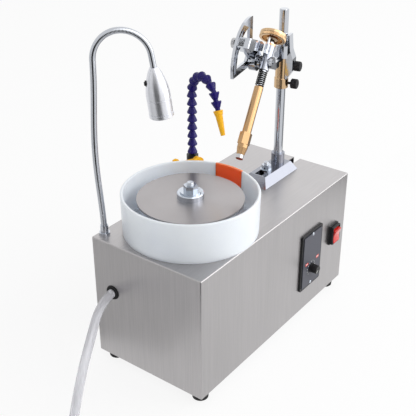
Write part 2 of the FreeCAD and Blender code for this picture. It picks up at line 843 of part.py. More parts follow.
def cord_edges(spots):
    """Straight runs joined by tangent arcs as large as the runs allow, and the arcs' radii."""
    edges, radii, last = [], [], spots[0]
    for before, corner, after in zip(spots, spots[1:], spots[2:]):
        come, leave = corner - before, after - corner
        half = come.getAngle(leave) / 2
        reach = 0.45 * min(come.Length, leave.Length)
        radii.append(reach / math.tan(half))
        start = corner - come.normalize() * reach
        end = corner + leave.normalize() * reach
        inward = (leave - come).normalize()
        mid = corner + inward * (radii[-1] * (1 / math.cos(half) - 1))
        edges += [Part.LineSegment(last, start).toShape(), Part.Arc(start, mid, end).toShape()]
        last = end
    edges.append(Part.LineSegment(last, spots[-1]).toShape())
    return edges, radii


def drain_hose():
    """The free stretch of the drain hose and the coil that its far end is put away in."""
    radius = size("hose_radius")
    exit_x, exit_y = size(f"{HOSE_WALL} - hose_start"), size("hose_hole_y")
    spots = [Vector(exit_x, exit_y, size(HOSE_Z))]
    spots += [Vector(exit_x + x, exit_y + y, height) for x, y, height in HOSE_ROUTE]
    edges, radii = cord_edges(spots)
    print("drain hose bend radii:", [round(r) for r in radii])
    shaped("drain_hose", tube(edges, radius))
    spot = spots[-1]
    heading = (spot - spots[-2]).normalize()
    turns = []
    reach, step = size("coil_radius"), size("hose_radius * 2 + coil_gap") / 4
    for quarter in range(COIL_QUARTERS):
        bend = reach - step * quarter
        inward = Vector(-heading.y, heading.x, 0)
        centre = spot + inward * bend
        mid = centre + (heading - inward) * (bend * math.sin(math.pi / 4))
        end = centre + heading * bend
        turns.append(Part.Arc(spot, mid, end).toShape())
        spot, heading = end, inward
    length = sum(e.Length for e in edges + turns)
    line = [point for edge in turns for point in edge.discretize(COIL_SAMPLES)]
    apart = COIL_SAMPLES * 3
    gap = min((a - b).Length for i, a in enumerate(line) for b in line[i + apart:]) - 2 * radius
    print(f"drain hose length {length:.0f}, coil's least gap to itself {gap:.2f}")
    shaped("drain_hose_coil", tube(turns, radius))


def column_foot():
    """Sliding foot, its clamp, and the column that stands in it."""
    foot = Piece("column_base", at("0", "0", f"{TOP} + slide_gap"))
    lower = box("base_front", "-base_half", "base_back", "base_half")
    inner = "(base_half - base_slope_y)"
    upper = box("base_front + base_slope_x", f"-{inner}", "base_back - base_slope_x", inner)
    foot.loft(lower, upper, "0", "base_height")
    foot.pad([circle("column_x", "0", "boss_radius")], "base_height - lap_over", "base_height + boss_height")
    bore = "column_radius + fit_gap"
    foot.cut([circle("column_x", "0", bore)], "boss_floor", "base_height + boss_height + lap_over")
    half = "bolt_slot / 2"
    start, stop = "base_front + base_slope_x + bolt_slot_edge", "bolt_x + bolt_radius + bolt_slot_room"
    foot.cut([box(start, f"-{half}", stop, half)], "0", "base_height + lap_over")

    column = Piece("column", at("column_x", "0", TOP))
    low, top = "boss_floor + slide_gap", f"column_top + foot_height - ({TOP})"
    column.turn(
        ("0", low), ("column_radius", low), ("column_radius", f"{top} - chamfer"),
        ("column_radius - chamfer", top), ("0", top),
    )

    deck = f"{TOP} + slide_gap + base_height"
    stack = "bolt_washer_thick + bolt_nut_height"
    bolt = Piece("base_bolt", at("bolt_x", "0", "0"))
    neck = f"{UNDER} - slide_gap - clamp_thick"
    head_low = f"{neck} - bolt_head_height"
    tip = f"{deck} + {stack} + bolt_reach"
    bolt.turn(
        ("0", head_low), ("bolt_head_radius", head_low), ("bolt_head_radius", neck), ("bolt_radius", neck),
        ("bolt_radius", f"{tip} - chamfer"), ("bolt_radius - chamfer", tip), ("0", tip),
    )
    hole = "bolt_radius + fit_gap"
    washer = Piece("base_washer", at("bolt_x", "0", deck), node=False)
    washer.pad([circle("0", "0", "bolt_washer"), circle("0", "0", hole)], "0", "bolt_washer_thick")
    nut = Piece("base_hex", at("bolt_x", "0", f"{deck} + bolt_washer_thick"), node=False)
    nut.pad([hexagon("0", "0", "bolt_nut_flats"), circle("0", "0", hole)], "0", "bolt_nut_height")
    group("base_nut", [washer, nut])
    clamp = Piece("clamp_plate", at("bolt_x", "0", neck))
    plate = box("-clamp_half", "-clamp_half", "clamp_half", "clamp_half")
    clamp.pad([plate, circle("0", "0", hole)], "0", "clamp_thick")


# The head turns about the column: its own X points at the lap, its Y to the front.
HEAD = at("column_x", "0", "foot_height", "0;0;1", "180 + swing_angle")
# The quill turns about the hinge: its own Z runs up the quill, its X along the pointer.
QUILL = f"{HEAD} * " + at("hinge_reach", "0", "hinge_level", "0;1;0", "-quill_angle")


def knob(label, where, face, screw):
    """A round hand knob on a screw, along its own Z. The face is its near side, the screw starts lower."""
    piece = Piece(label, where)
    far = f"{face} + knob_length"
    piece.turn(
        ("0", screw), ("knob_screw", screw), ("knob_screw", face), ("knob_radius - chamfer", face),
        ("knob_radius", f"{face} + chamfer"), ("knob_radius", f"{far} - knob_edge"),
        ("knob_radius - knob_edge", far), ("0", far),
    )


def head():
    """Height collar, swivel block with its fork, the two clamp knobs and the protractor."""
    bore = "column_radius + run_gap"
    collar = Piece("height_collar", f"{HEAD} * " + at("0", "0", "collar_level"))
    sleeve_top = "collar_height + sleeve_height"
    collar.turn(
        (bore, "0"), ("collar_radius - collar_edge", "0"), ("collar_radius", "collar_edge"),
        ("collar_radius", "collar_height - collar_edge"), ("collar_radius - collar_edge", "collar_height"),
        ("sleeve_radius", "collar_height"), ("sleeve_radius", sleeve_top), (bore, sleeve_top),
    )
    screw_bore = "knob_screw + fit_gap"
    collar.cut([circle("0", "collar_height / 2", screw_bore)], "0", "collar_radius + lap_over", "XZ")
    outward = "1;0;0"
    knob("collar_knob", f"{HEAD} * " + at("0", "0", "collar_level + collar_height / 2", outward, "-90"),
         "collar_radius + collar_knob_reach", "column_radius + tip_gap")

    ring_low = "collar_level + collar_height + sleeve_height + slide_gap"
    block = Piece("swivel_block", HEAD)
    block.pad([circle("0", "0", "ring_radius")], ring_low, f"{ring_low} + ring_height")
    half, wide = "cheek_half", "cheek_wide"
    skirt = "(collar_level + collar_height)"
    cheek = path(
        ("sleeve_radius + chamfer", skirt), (wide, f"{skirt} + cheek_skirt"), (wide, ring_low),
        ("cheek_thin + cheek_taper", f"{ring_low} + cheek_step"), ("cheek_thin", "cheek_top"),
        ("column_radius + lap_over", "cheek_top"), ("column_radius + lap_over", skirt),
    )
    block.pad([cheek], f"-{half}", half, "YZ")
    arm_low = "hinge_level - arm_drop"
    arm_high = f"{arm_low} + arm_height"
    block.pad([box("0", "-arm_half", "hinge_reach - fork_back", "arm_half")], arm_low, arm_high)
    back = "hinge_reach - fork_back - fork_root"
    ear = "ear_radius"
    fork = path(
        (back, arm_low), ("hinge_reach - ear_radius", arm_low), ("hinge_reach", f"hinge_level - {ear}", ear),
        (f"hinge_reach + {ear}", "hinge_level", ear), ("hinge_reach", f"hinge_level + {ear}", ear),
        (f"hinge_reach - {ear}", "hinge_level"), (f"hinge_reach - {ear} - chamfer", arm_high), (back, arm_high),
    )
    block.pad([fork], "-fork_half", "fork_half", "XZ")
    mouth = box("hinge_reach - fork_back", "-fork_gap", "hinge_reach + ear_radius + lap_over", "fork_gap")
    block.cut([mouth], f"{arm_low} - lap_over", f"hinge_level + {ear} + lap_over")
    eye = circle("hinge_reach", "hinge_level", "hinge_radius + run_gap")
    block.cut([eye], "-fork_half - lap_over", "fork_half + lap_over", "XZ")
    block.cut([circle("0", "0", bore)], skirt, "cheek_top + lap_over")
    block.cut([circle("0", "0", "sleeve_radius + clear_gap")], f"{skirt} - lap_over", ring_low)
    swing_level = f"{skirt} + swing_knob_rise"
    block.cut([circle("0", swing_level, screw_bore)], "0", "cheek_wide + lap_over", "XZ")
    knob("swing_knob", f"{HEAD} * " + at("0", "0", swing_level, outward, "-90"), "cheek_wide + clear_gap",
         "sleeve_radius + swing_tip_gap")

    centre = f"{HEAD} * " + at("hinge_reach", "0", "hinge_level")
    far = "-(plate_near + plate_thick)"
    plate = Piece("protractor", centre)
    corner = "-prot_edge"
    reach = "sqrt(prot_radius * prot_radius - prot_edge * prot_edge)"
    sector = path((corner, corner), (reach, corner, "prot_radius"), (corner, reach))
    plate.pad([sector], far, "-plate_near", "XZ")
    window_low, window_high = "prot_web", "sqrt(prot_inner * prot_inner - prot_web * prot_web)"
    window = path(
        ("prot_hub", window_low), (window_high, window_low, "prot_inner"), (window_low, window_high),
        (window_low, "prot_hub"),
    )
    slot = arc_slot("0", "0", "lock_radius", "lock_slot", "lock_low", "lock_high")
    for hole in (window, slot, circle("0", "0", "hinge_radius + run_gap")):
        plate.cut([hole], f"{far} - lap_over", "lap_over - plate_near", "XZ")
    plate.pad([box("-bracket_back", "-arm_drop", "-bracket_front", "arm_height - arm_drop")],
              "-plate_near - bracket_sink", "-fork_half", "XZ")
    plate.pad([box("-bracket_back", "-arm_drop", "-prot_edge + lap_over", "arm_height - arm_drop")],
              far, "-plate_near", "XZ")


def quill():
    """What tilts about the hinge: housing, pointer, index wheel, spring, tube, collet and stick."""
    right = Piece("pin_right", QUILL, node=False)
    right.pad([circle("0", "0", "hinge_radius")], "pin_near", "fork_half + chamfer", "XZ")
    left = Piece("pin_left", QUILL, node=False)
    left.pad([circle("0", "0", "hinge_radius")], "-(plate_near + plate_thick + pin_far)", "-pin_near", "XZ")
    group("hinge_pin", [right, left])

    bore = "(shaft_radius + run_gap)"
    body = Piece("quill_housing", QUILL)
    body.pad([circle("0", "0", "housing_radius")], "-housing_low", "housing_top")
    body.pad([circle("0", "0", "housing_radius - boss_step")], "-boss_flat", "boss_flat", "XZ")
    wide = "lug_half"
    lug = path(("0", f"-{wide}"), ("pin_offset", f"-{wide}", wide), (f"pin_offset + {wide}", "0", wide),
               ("pin_offset", wide), ("0", wide))
    lug_top = "(housing_top - lug_drop)"
    lug_low = f"({lug_top} - lug_height)"
    body.pad([lug], lug_low, lug_top)
    body.cut([circle("0", "0", bore)], "-housing_low - lap_over", "housing_top + lap_over")
    socket = circle("0", "0", "hinge_radius + fit_gap")
    body.cut([socket], "pin_near", "boss_flat + lap_over", "XZ")
    body.cut([socket], "-boss_flat - lap_over", "-pin_near", "XZ")
    detent_bore = circle("pin_offset", "0", "pin_radius + fit_gap")
    body.cut([detent_bore], f"{lug_low} - lap_over", f"{lug_top} + lap_over")

    bush = Piece("housing_bush", QUILL)
    bush.turn(
        (bore, "housing_top"), ("bush_radius", "housing_top"), ("bush_radius", "housing_top + bush_height"),
        (bore, "housing_top + bush_height"),
    )
    stop, head_low = "wheel_low - clear_gap", f"{lug_low} - pin_head"
    detent = Piece("index_pin", f"{QUILL} * " + at("pin_offset"))
    detent.turn(
        ("0", head_low), ("pin_radius * 2", head_low), ("pin_radius * 2", lug_low),
        ("pin_radius", lug_low), ("pin_radius", f"{stop} - chamfer"), ("pin_radius / 2", stop), ("0", stop),
    )

    pointer = Piece("pointer_arm", QUILL)
    hub = "hinge_radius + fit_gap"
    pointer.pad([circle("0", "0", "drum_radius"), circle("0", "0", hub)], "-drum_far", "-drum_near", "XZ")
    near, arm_top = "drum_radius - drum_sink", "pointer_thick - drum_far"
    pointer.pad([box(near, "-pointer_half", "pointer_end", "pointer_half")], "-drum_far", arm_top, "XZ")
    side = "(pointer_half + pointer_block_side)"
    block = box("lock_radius - pointer_block", f"-{side}", "pointer_end", side)
    block_top = f"{arm_top} + pointer_block_step"
    pointer.pad([block], "slide_gap - plate_near", block_top, "XZ")
    screw_hole = circle("lock_radius", "0", "knob_screw + fit_gap")
    pointer.cut([screw_hole], "-plate_near", f"{block_top} + lap_over", "XZ")

    lock = Piece("lock_knob", f"{QUILL} * " + at("lock_radius", "0", "0", "1;0;0", "90"))
    face, root = "(plate_near + plate_thick + slide_gap)", "drum_far - lock_screw_in"
    far = f"{face} + lock_knob_thick"
    lock.turn(
        ("0", root), ("knob_screw", root), ("knob_screw", face), ("lock_knob_radius", face),
        ("lock_knob_radius", f"{far} - chamfer"), ("lock_knob_radius - chamfer", far), ("0", far),
    )

    wheel = Piece("index_wheel", QUILL)
    hole = "shaft_radius + fit_gap"
    wheel.turn(
        (hole, "wheel_low"), ("wheel_hub", "wheel_low"), ("wheel_hub", "wheel_low + wheel_recess"),
        ("wheel_radius - wheel_rim", "wheel_low + wheel_recess"), ("wheel_radius - wheel_rim", "wheel_low"),
        ("wheel_radius - edge", "wheel_low"), ("wheel_radius", "wheel_low + edge"),
        ("wheel_radius", "wheel_high - edge"), ("wheel_radius - edge", "wheel_high"), (hole, "wheel_high"),
    )
    shaft = Piece("quill_spindle", QUILL)
    button_top, nose = "wheel_high + shaft_button_height", "-tube_end - shaft_nose"
    shaft.turn(
        ("0", nose), ("shaft_radius", nose), ("shaft_radius", "wheel_high"),
        ("shaft_button", "wheel_high"), ("shaft_button", f"{button_top} - chamfer"),
        ("shaft_button - chamfer", button_top), ("0", button_top),
    )
    sleeve = Piece("quill_tube", QUILL)
    sleeve.turn(
        (hole, "-tube_end"), ("tube_radius", "-tube_end"), ("tube_radius", "-tube_top - edge"),
        ("tube_radius - edge", "-tube_top"), (hole, "-tube_top"),
    )
    collet = Piece("collet_nut", QUILL)
    collet.pad([hexagon("0", "0", "collet_flats")], "-collet_end", "-tube_end")
    shank = "dop_shank + fit_gap"
    collet.turn(
        ("0", "-nose_end"), ("nose_tip", "-nose_end"), ("nose_radius", "-collet_end - nose_straight"),
        ("nose_radius", "-collet_end + lap_over"), ("0", "-collet_end + lap_over"),
    )
    collet.cut([circle("0", "0", hole)], f"{nose} - lap_over", "-tube_end")
    collet.cut([circle("0", "0", shank)], "-nose_end", "-collet_end")
    stick = Piece("dop_stick", QUILL)
    stick.turn(
        ("0", "-dop_end"), ("dop_radius - edge", "-dop_end"), ("dop_radius", "edge - dop_end"),
        ("dop_radius", "-nose_end"), ("dop_shank", "-nose_end"), ("dop_shank", "-collet_end - lap_over"),
        ("0", "-collet_end - lap_over"),
    )

    wire, mean = size("spring_wire / 2"), size("spring_mean")
    high, low = size("-housing_low - fit_gap"), size("slide_gap / 2 - tube_top")
    travel = high - low - 2 * wire
    pitch = travel / size("spring_turns")
    coil = Part.makeHelix(pitch, travel, mean)
    angles = [math.radians(a) for a in range(0, 360, 60)]
    ring = [Vector(mean + wire * math.cos(a), 0, wire * math.sin(a)) for a in angles]
    section = Part.makePolygon(ring + ring[:1])
    solid = Part.Wire(coil.Edges).makePipeShell([section], True, True)
    shaped("quill_spring", solid, f"{QUILL} * " + at("0", "0", "slide_gap / 2 - tube_top + spring_wire / 2"))


def coolant():
    """Valve and its lever, the jointed hose and the nozzle."""
    valve = Piece("valve_body", at("cool_x", "cool_y", TOP, "0;0;1", "handle_turn"))
    stem, foot, low = "valve_stem", "valve_radius + valve_collar_step", "valve_height - valve_head_low"
    high = "(valve_height + valve_head_high)"
    mouth = f"({high} + valve_cone)"
    valve.turn(
        ("0", "-valve_stem_drop"), (stem, "-valve_stem_drop"), (stem, "0"), (foot, "0"),
        (foot, "valve_collar"), ("valve_waist", "valve_collar"), ("valve_waist", low), ("valve_radius", low),
        ("valve_radius", high), ("segment_radius - chamfer", high), ("segment_neck", mouth),
        ("segment_neck", f"{high} + valve_spout"), ("0", f"{high} + valve_spout"),
    )
    valve.pad([hexagon("0", "0", "valve_nut")], "valve_collar", "valve_collar + valve_nut_height")
    boss = "(valve_radius + handle_stem_reach)"
    valve.pad([circle("0", "handle_level", "handle_stem")], f"-{boss}", "0", "XZ")

    lever = Piece("valve_handle", at("cool_x", "cool_y", TOP, "0;0;1", "handle_turn"))
    near = f"-({boss} + slide_gap)"
    far = f"{near} - handle_thick"
    lever.pad([circle("0", "handle_level", "handle_hub")], far, near, "XZ")
    low, high = "handle_level - handle_half", "handle_level + handle_half"
    lever.pad([rounded("-handle_long", low, "handle_short", high, "handle_half * 0.9")], far, near, "XZ")

    bend, lean = size("cool_bend"), math.radians(size("cool_lean"))
    sweep = math.pi - lean
    base = size(f"{TOP} + {mouth}")
    straight = size(f"{TOP} + cool_rise") - base
    total = straight + bend * sweep + size("cool_tail")
    count = int(size("segments"))
    pitch = total / count

    def station(run):
        """Place and upward direction at a distance along the hose, in its own plane."""
        if run <= straight:
            return Vector(0, 0, base + run), 0.0
        run -= straight
        turn = min(run / bend, sweep)
        spot = Vector(bend * (1 - math.cos(turn)), 0, base + straight + bend * math.sin(turn))
        rest = run - turn * bend
        return spot + Vector(math.sin(turn), 0, math.cos(turn)) * rest, turn

    link = Piece("hose_link", node=False)
    neck, socket, rim = "segment_neck", "segment_socket", "segment_radius"
    deep = "segment_seam + segment_socket_depth"
    link.turn(
        ("0", deep), (socket, deep), (socket, "segment_seam"), (rim, "segment_seam"), (rim, "segment_band"),
        (f"{rim} - segment_cone_step", "segment_cone"), (neck, "segment_throat"), (neck, "segment_end"),
        ("0", "segment_end"),
    )
    doc.recompute()
    links = []
    for number in range(count):
        spot, turn = station(pitch * number)[0], station(pitch * (number + 0.5))[1]
        copy = link.body.Shape.copy()
        copy.Placement = Placement(spot, Rotation(Vector(0, 1, 0), math.degrees(turn)))
        links.append(copy)
    plane = at("cool_x", "cool_y", "0", "0;0;1", "cool_turn")
    shaped("hose_segments", Part.makeCompound(links), plane)

    spout_x = "cool_bend + cool_bend * cos(cool_lean) + cool_tail * sin(cool_lean)"
    spout_z = f"{TOP} + cool_rise + cool_bend * sin(cool_lean) - cool_tail * cos(cool_lean)"
    nozzle = Piece("hose_nozzle", f"{plane} * " + at(spout_x, "0", spout_z, "0;1;0", "180 - cool_lean"))
    flange, tip, end, seam = "nozzle_flange", "nozzle_tip", "nozzle_length", "segment_seam"
    mouth, bore = f"{neck} + {seam}", f"{tip} - nozzle_wall"
    nozzle.turn(
        (mouth, seam), (f"{flange} - {seam}", seam), (flange, f"{seam} * 2"), (flange, "nozzle_band"),
        (f"{flange} - nozzle_waist", "nozzle_band + nozzle_step"),
        (f"{tip} + nozzle_step", f"{end} - nozzle_tip_length - chamfer"), (tip, f"{end} - nozzle_tip_length"),
        (tip, end), (bore, end), (bore, "nozzle_throat"), (mouth, "nozzle_socket"),
    )


def lamp():
    """Lamp on its gooseneck: fitting, neck, shell, lens and push switch."""
    frame = at("lamp_x", "lamp_y", "0", "0;0;1", "lamp_turn")
    hole = "goose_radius + fit_gap"
    wall, flange = "goose_radius + fitting_wall - fit_gap", "goose_radius + fitting_flange"
    sleeve = "goose_radius + fitting_sleeve"
    fitting = Piece("lamp_fitting", f"{frame} * " + at("0", "0", TOP))
    fitting.turn(
        (hole, "-fitting_depth"), (wall, "-fitting_depth"), (wall, "0"), (flange, "0"),
        (flange, "fitting_flange_thick"), (sleeve, "fitting_flange_thick"), (sleeve, "fitting_height"),
        (hole, "fitting_height"),
    )
    bend, tilt, tail = size("goose_bend"), math.radians(size("lamp_tilt")), size("goose_tail")
    apex = size("goose_top + foot_height")
    low = size(f"{TOP} - fitting_depth")
    spring = Vector(0, 0, apex - bend)
    hub = Vector(bend, 0, apex - bend)
    out = hub + Vector(math.cos(tilt), 0, math.sin(tilt)) * bend
    lean = (math.pi + tilt) / 2
    peak = hub + Vector(math.cos(lean), 0, math.sin(lean)) * bend
    end = out + Vector(math.sin(tilt), 0, -math.cos(tilt)) * (tail + size("goose_in"))
    edges = [
        Part.LineSegment(Vector(0, 0, low), spring).toShape(),
        Part.Arc(spring, peak, out).toShape(),
        Part.LineSegment(out, end).toShape(),
    ]
    shaped("gooseneck", tube(edges, size("goose_radius")), frame)

    head_x = "goose_bend + goose_bend * cos(lamp_tilt) + goose_tail * sin(lamp_tilt)"
    crown = "goose_top + foot_height - goose_bend"
    head_z = f"{crown} + goose_bend * sin(lamp_tilt) - goose_tail * cos(lamp_tilt)"
    aim = f"{frame} * " + at(head_x, "0", head_z, "0;1;0", "-lamp_tilt")
    shell = Piece("lamp_shell", aim)
    r, inside = "lamp_radius", "(lamp_radius - lamp_wall)"
    socket, bezel = "-goose_in - socket_room", "(lamp_bezel - lamp_length)"
    step, groove = "lamp_bezel_step", f"{r} - lamp_groove"
    shell.turn(
        ("0", socket), (hole, socket), (hole, "0"), ("goose_radius + lamp_neck - lamp_neck_edge", "0"),
        ("goose_radius + lamp_neck", "-lamp_neck_edge"), ("goose_radius + lamp_neck", "-goose_in"),
        ("lamp_mid_radius", "-lamp_neck_mid"), ("lamp_crown_radius", "-lamp_crown"), (r, "-lamp_shoulder"),
        (r, f"{bezel} + chamfer"), (groove, f"{bezel} + lamp_groove"), (f"{r} + {step}", bezel),
        (f"{r} + {step}", "-lamp_length"), (inside, "-lamp_length"), (inside, "-lamp_shoulder - lens_inset"),
        ("lamp_cup_radius", "lamp_cup - lamp_shoulder"), ("0", "lamp_cup - lamp_shoulder"),
    )
    collar = circle("0", "-button_drop", "button_radius + button_collar")
    shell.pad([collar], "button_collar_drop - button_reach", "-button_root", "YZ")
    well = circle("0", "-button_drop", "button_radius + run_gap")
    shell.cut([well], "-button_reach", "button_hole - button_reach", "YZ")
    lens = Piece("lamp_lens", aim)
    edge, front = f"{inside} - fit_gap", "lens_inset - lamp_length"
    lens.turn(
        ("0", front), (f"{edge} - lens_dish", front), (edge, f"{front} + lens_edge"),
        (edge, f"{front} + lens_thick"), ("0", f"{front} + lens_thick"),
    )
    button = Piece("lamp_switch", aim)
    stem = circle("0", "-button_drop", "button_radius")
    button.pad([stem], "-button_reach", "button_length - button_reach", "YZ")


def controls():
    """Speed controller with its knob, the rocker switch and the cable gland."""
    middle, rock = "(foot_height + panel_z)", "(foot_height + rocker_z)"
    face = f"{FRONT} - panel_proud"
    wide, tall = "panel_width / 2", "panel_height / 2"
    case = Piece("controller_case", at("panel_x", "0", middle))
    case.pad([rounded(f"-({wide})", f"-({tall})", wide, tall, "panel_round")], face, FRONT, "XZ")
    in_x, in_z = f"({wide} - panel_rim - fit_gap)", f"({tall} - panel_rim - fit_gap)"
    case.pad([box(f"-{in_x}", f"-{in_z}", in_x, in_z)], FRONT, f"{FRONT} + panel_depth", "XZ")
    rim_x, rim_z = f"({wide} - panel_rim + panel_lip)", f"({tall} - panel_rim + panel_lip)"
    recess = rounded(f"-{rim_x}", f"-{rim_z}", rim_x, rim_z, "face_round")
    case.cut([recess], f"{face} - lap_over", f"{face} + face_recess", "XZ")
    dial = ("dial_x - panel_x", "dial_z - panel_z")
    shaft_hole = circle(*dial, "dial_shaft + dial_shaft_room")
    case.cut([shaft_hole], f"{face} - lap_over", f"{FRONT} + dial_hole", "XZ")
    plate = Piece("controller_face", at("panel_x", "0", middle))
    fit_x, fit_z = f"({rim_x} - fit_gap)", f"({rim_z} - fit_gap)"
    back = f"{face} + face_recess"
    front = f"{back} - face_thick"
    plate.pad([rounded(f"-{fit_x}", f"-{fit_z}", fit_x, fit_z, "face_round")], front, back, "XZ")
    plate.cut([circle(*dial, "dial_shaft + run_gap")], f"{front} - lap_over", f"{back} + lap_over", "XZ")

    turned = at("dial_x", FRONT, "foot_height + dial_z", "1;0;0", "90")
    dial_knob = Piece("speed_knob", turned)
    near = "panel_proud - face_recess + face_thick + slide_gap"
    far = f"{near} + dial_length"
    dial_knob.turn(
        ("0", "-dial_shaft_in"), ("dial_shaft", "-dial_shaft_in"), ("dial_shaft", near),
        ("dial_radius", near),
        ("dial_radius", f"{near} + dial_skirt"), ("dial_radius - chamfer", f"{far} - chamfer"),
        ("dial_radius - chamfer * 2", far), ("0", far),
    )

    wide, tall = "rocker_width / 2", "rocker_height / 2"
    gap_x, gap_z = f"({wide} - rocker_frame)", f"({tall} - rocker_frame)"
    bezel = Piece("rocker_bezel", at("rocker_x", "0", rock))
    bezel.pad([rounded(f"-({wide})", f"-({tall})", wide, tall, "face_round")], face, FRONT, "XZ")
    in_x, in_z = f"({wide} - rocker_flange - fit_gap)", f"({tall} - rocker_flange - fit_gap)"
    bezel.pad([box(f"-{in_x}", f"-{in_z}", in_x, in_z)], FRONT, f"{FRONT} + rocker_depth", "XZ")
    window = box(f"-{gap_x}", f"-{gap_z}", gap_x, gap_z)
    bezel.cut([window], f"{face} - lap_over", f"{FRONT} + rocker_hole", "XZ")
    pin_hole = circle(f"{FRONT} + rocker_pivot", "0", "rocker_pin + run_gap")
    bezel.cut([pin_hole], f"-{in_x} - lap_over", f"{in_x} + lap_over", "YZ")
    pivot = at("rocker_x", f"{FRONT} + rocker_pivot", rock, "1;0;0", "rocker_tilt")
    lever = Piece("rocker", pivot)
    half = f"({gap_x} - clear_gap)"
    tip_z, tip_y = f"({gap_z} - rocker_end_gap)", "(rocker_pivot + panel_proud + rocker_proud)"
    slope, back = "rocker_end_slope", "rocker_back"
    rocking = path(
        (back, f"-{tip_z} / 2"), (back, f"{tip_z} / 2"), ("-rocker_shoulder", tip_z),
        (f"-{tip_y}", f"{tip_z} - {slope}"), (f"rocker_hollow - {tip_y}", "0"),
        (f"-{tip_y}", f"{slope} - {tip_z}"), ("-rocker_shoulder", f"-{tip_z}"),
    )
    lever.pad([rocking], f"-{half}", half, "YZ")
    pin_end = f"({gap_x} + rocker_pin_reach)"
    lever.pad([circle("0", "0", "rocker_pin")], f"-{pin_end}", pin_end, "YZ")

    gland = Piece("cord_gland", at("gland_x", HALF_W, "foot_height + gland_z", "1;0;0", "-90"))
    nut_low = "-sheet - gland_lock_nut"
    tail = f"{nut_low} - gland_tail"
    gland.turn(
        ("gland_bore", tail), ("gland_radius", tail), ("gland_radius", nut_low),
        ("gland_nut", nut_low), ("gland_nut", "-sheet"), ("gland_radius", "-sheet"), ("gland_radius", "0"),
        ("gland_nut", "0"), ("gland_nut", "gland_grip"), ("gland_radius", "gland_reach"),
        ("gland_bore", "gland_reach"),
    )


cabinet()
motor()
lap_stack()
bowl()
drain_hose()
column_foot()
head()
quill()
coolant()
lamp()
controls()
doc.recompute()

os.makedirs("parts", exist_ok=True)
for item in NODES:
    if "Invalid" in item.State or "Error" in item.State:
        raise RuntimeError(f"{item.Label} did not build")
    if item.Shape.isNull() or not item.Shape.isValid():
        raise RuntimeError(f"{item.Label} has no sound shape")
    item.Shape.exportStep(os.path.join("parts", item.Label + ".step"))
print(f"{len(NODES)} pieces written")
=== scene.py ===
"""Looks of a bench flat-lap grinder: finishes for its frame and the pieces that need a finer surface.

Fields of the type Outline, and pairs of corners, are in millimetres. Other fields are in metres and degrees.
"""

import json
import logging
import math
from dataclasses import dataclass
from enum import Enum
from typing import Any, Callable, Sequence

import bmesh
import bpy
import numpy as np
from bpy.types import ID, Material, NodeSocket, Object, World
from mathutils import Matrix, Vector

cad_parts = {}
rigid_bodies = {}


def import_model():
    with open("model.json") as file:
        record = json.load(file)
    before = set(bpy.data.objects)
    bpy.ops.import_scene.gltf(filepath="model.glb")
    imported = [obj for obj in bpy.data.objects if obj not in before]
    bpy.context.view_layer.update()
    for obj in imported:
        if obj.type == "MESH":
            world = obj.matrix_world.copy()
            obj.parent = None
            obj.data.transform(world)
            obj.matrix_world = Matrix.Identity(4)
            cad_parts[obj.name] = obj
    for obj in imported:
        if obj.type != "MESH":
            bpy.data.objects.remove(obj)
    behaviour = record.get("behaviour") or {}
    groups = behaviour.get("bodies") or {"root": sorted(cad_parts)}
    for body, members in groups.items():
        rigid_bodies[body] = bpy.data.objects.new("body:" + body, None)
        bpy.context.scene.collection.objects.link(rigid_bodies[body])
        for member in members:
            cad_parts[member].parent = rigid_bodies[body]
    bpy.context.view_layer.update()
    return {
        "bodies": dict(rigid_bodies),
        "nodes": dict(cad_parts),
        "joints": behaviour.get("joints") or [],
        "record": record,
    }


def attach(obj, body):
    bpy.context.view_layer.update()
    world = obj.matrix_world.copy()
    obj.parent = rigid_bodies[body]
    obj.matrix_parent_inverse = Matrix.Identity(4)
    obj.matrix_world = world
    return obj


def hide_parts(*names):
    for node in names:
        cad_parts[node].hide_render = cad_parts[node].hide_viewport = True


LOG = logging.getLogger("flat_lap")
MM = 0.001
WELD = 1e-6
NOISE_LOW, NOISE_HIGH = 0.3, 0.7
FINE_RELIEF = 0.0002
EDGE = 1 * MM
UNIT = WHITE = (1.0, 1.0, 1.0)
ORIGIN = (0.0, 0.0, 0.0)
Colour = tuple[float, float, float]
Span = tuple[float, float]
Spot = tuple[float, float, float]
Outline = tuple[Span, ...]
Array = np.ndarray
Line = Sequence[Sequence[float]] | Array
Shape = tuple[Array, Array]


class Sock:
    """A node's output whose arithmetic adds Math nodes to its tree."""

    def __init__(self, tree: "Tree", socket: NodeSocket) -> None:
        """Keep the tree and the socket."""
        self.tree, self.socket = tree, socket

    def maths(self, operation: str, *others: Any) -> "Sock":
        """One Math node on this value and others."""
        return self.tree.maths(operation, self, *others)

    def __add__(self, other: Any) -> "Sock":
        """Sum."""
        return self.maths("ADD", other)

    def __mul__(self, other: Any) -> "Sock":
        """Product."""
        return self.maths("MULTIPLY", other)

    def __pow__(self, other: Any) -> "Sock":
        """Power."""
        return self.maths("POWER", other)

    def blend(self, other: "Sock", share: float) -> "Sock":
        """A share of this value and the rest of another."""
        return self * share + other * (1 - share)


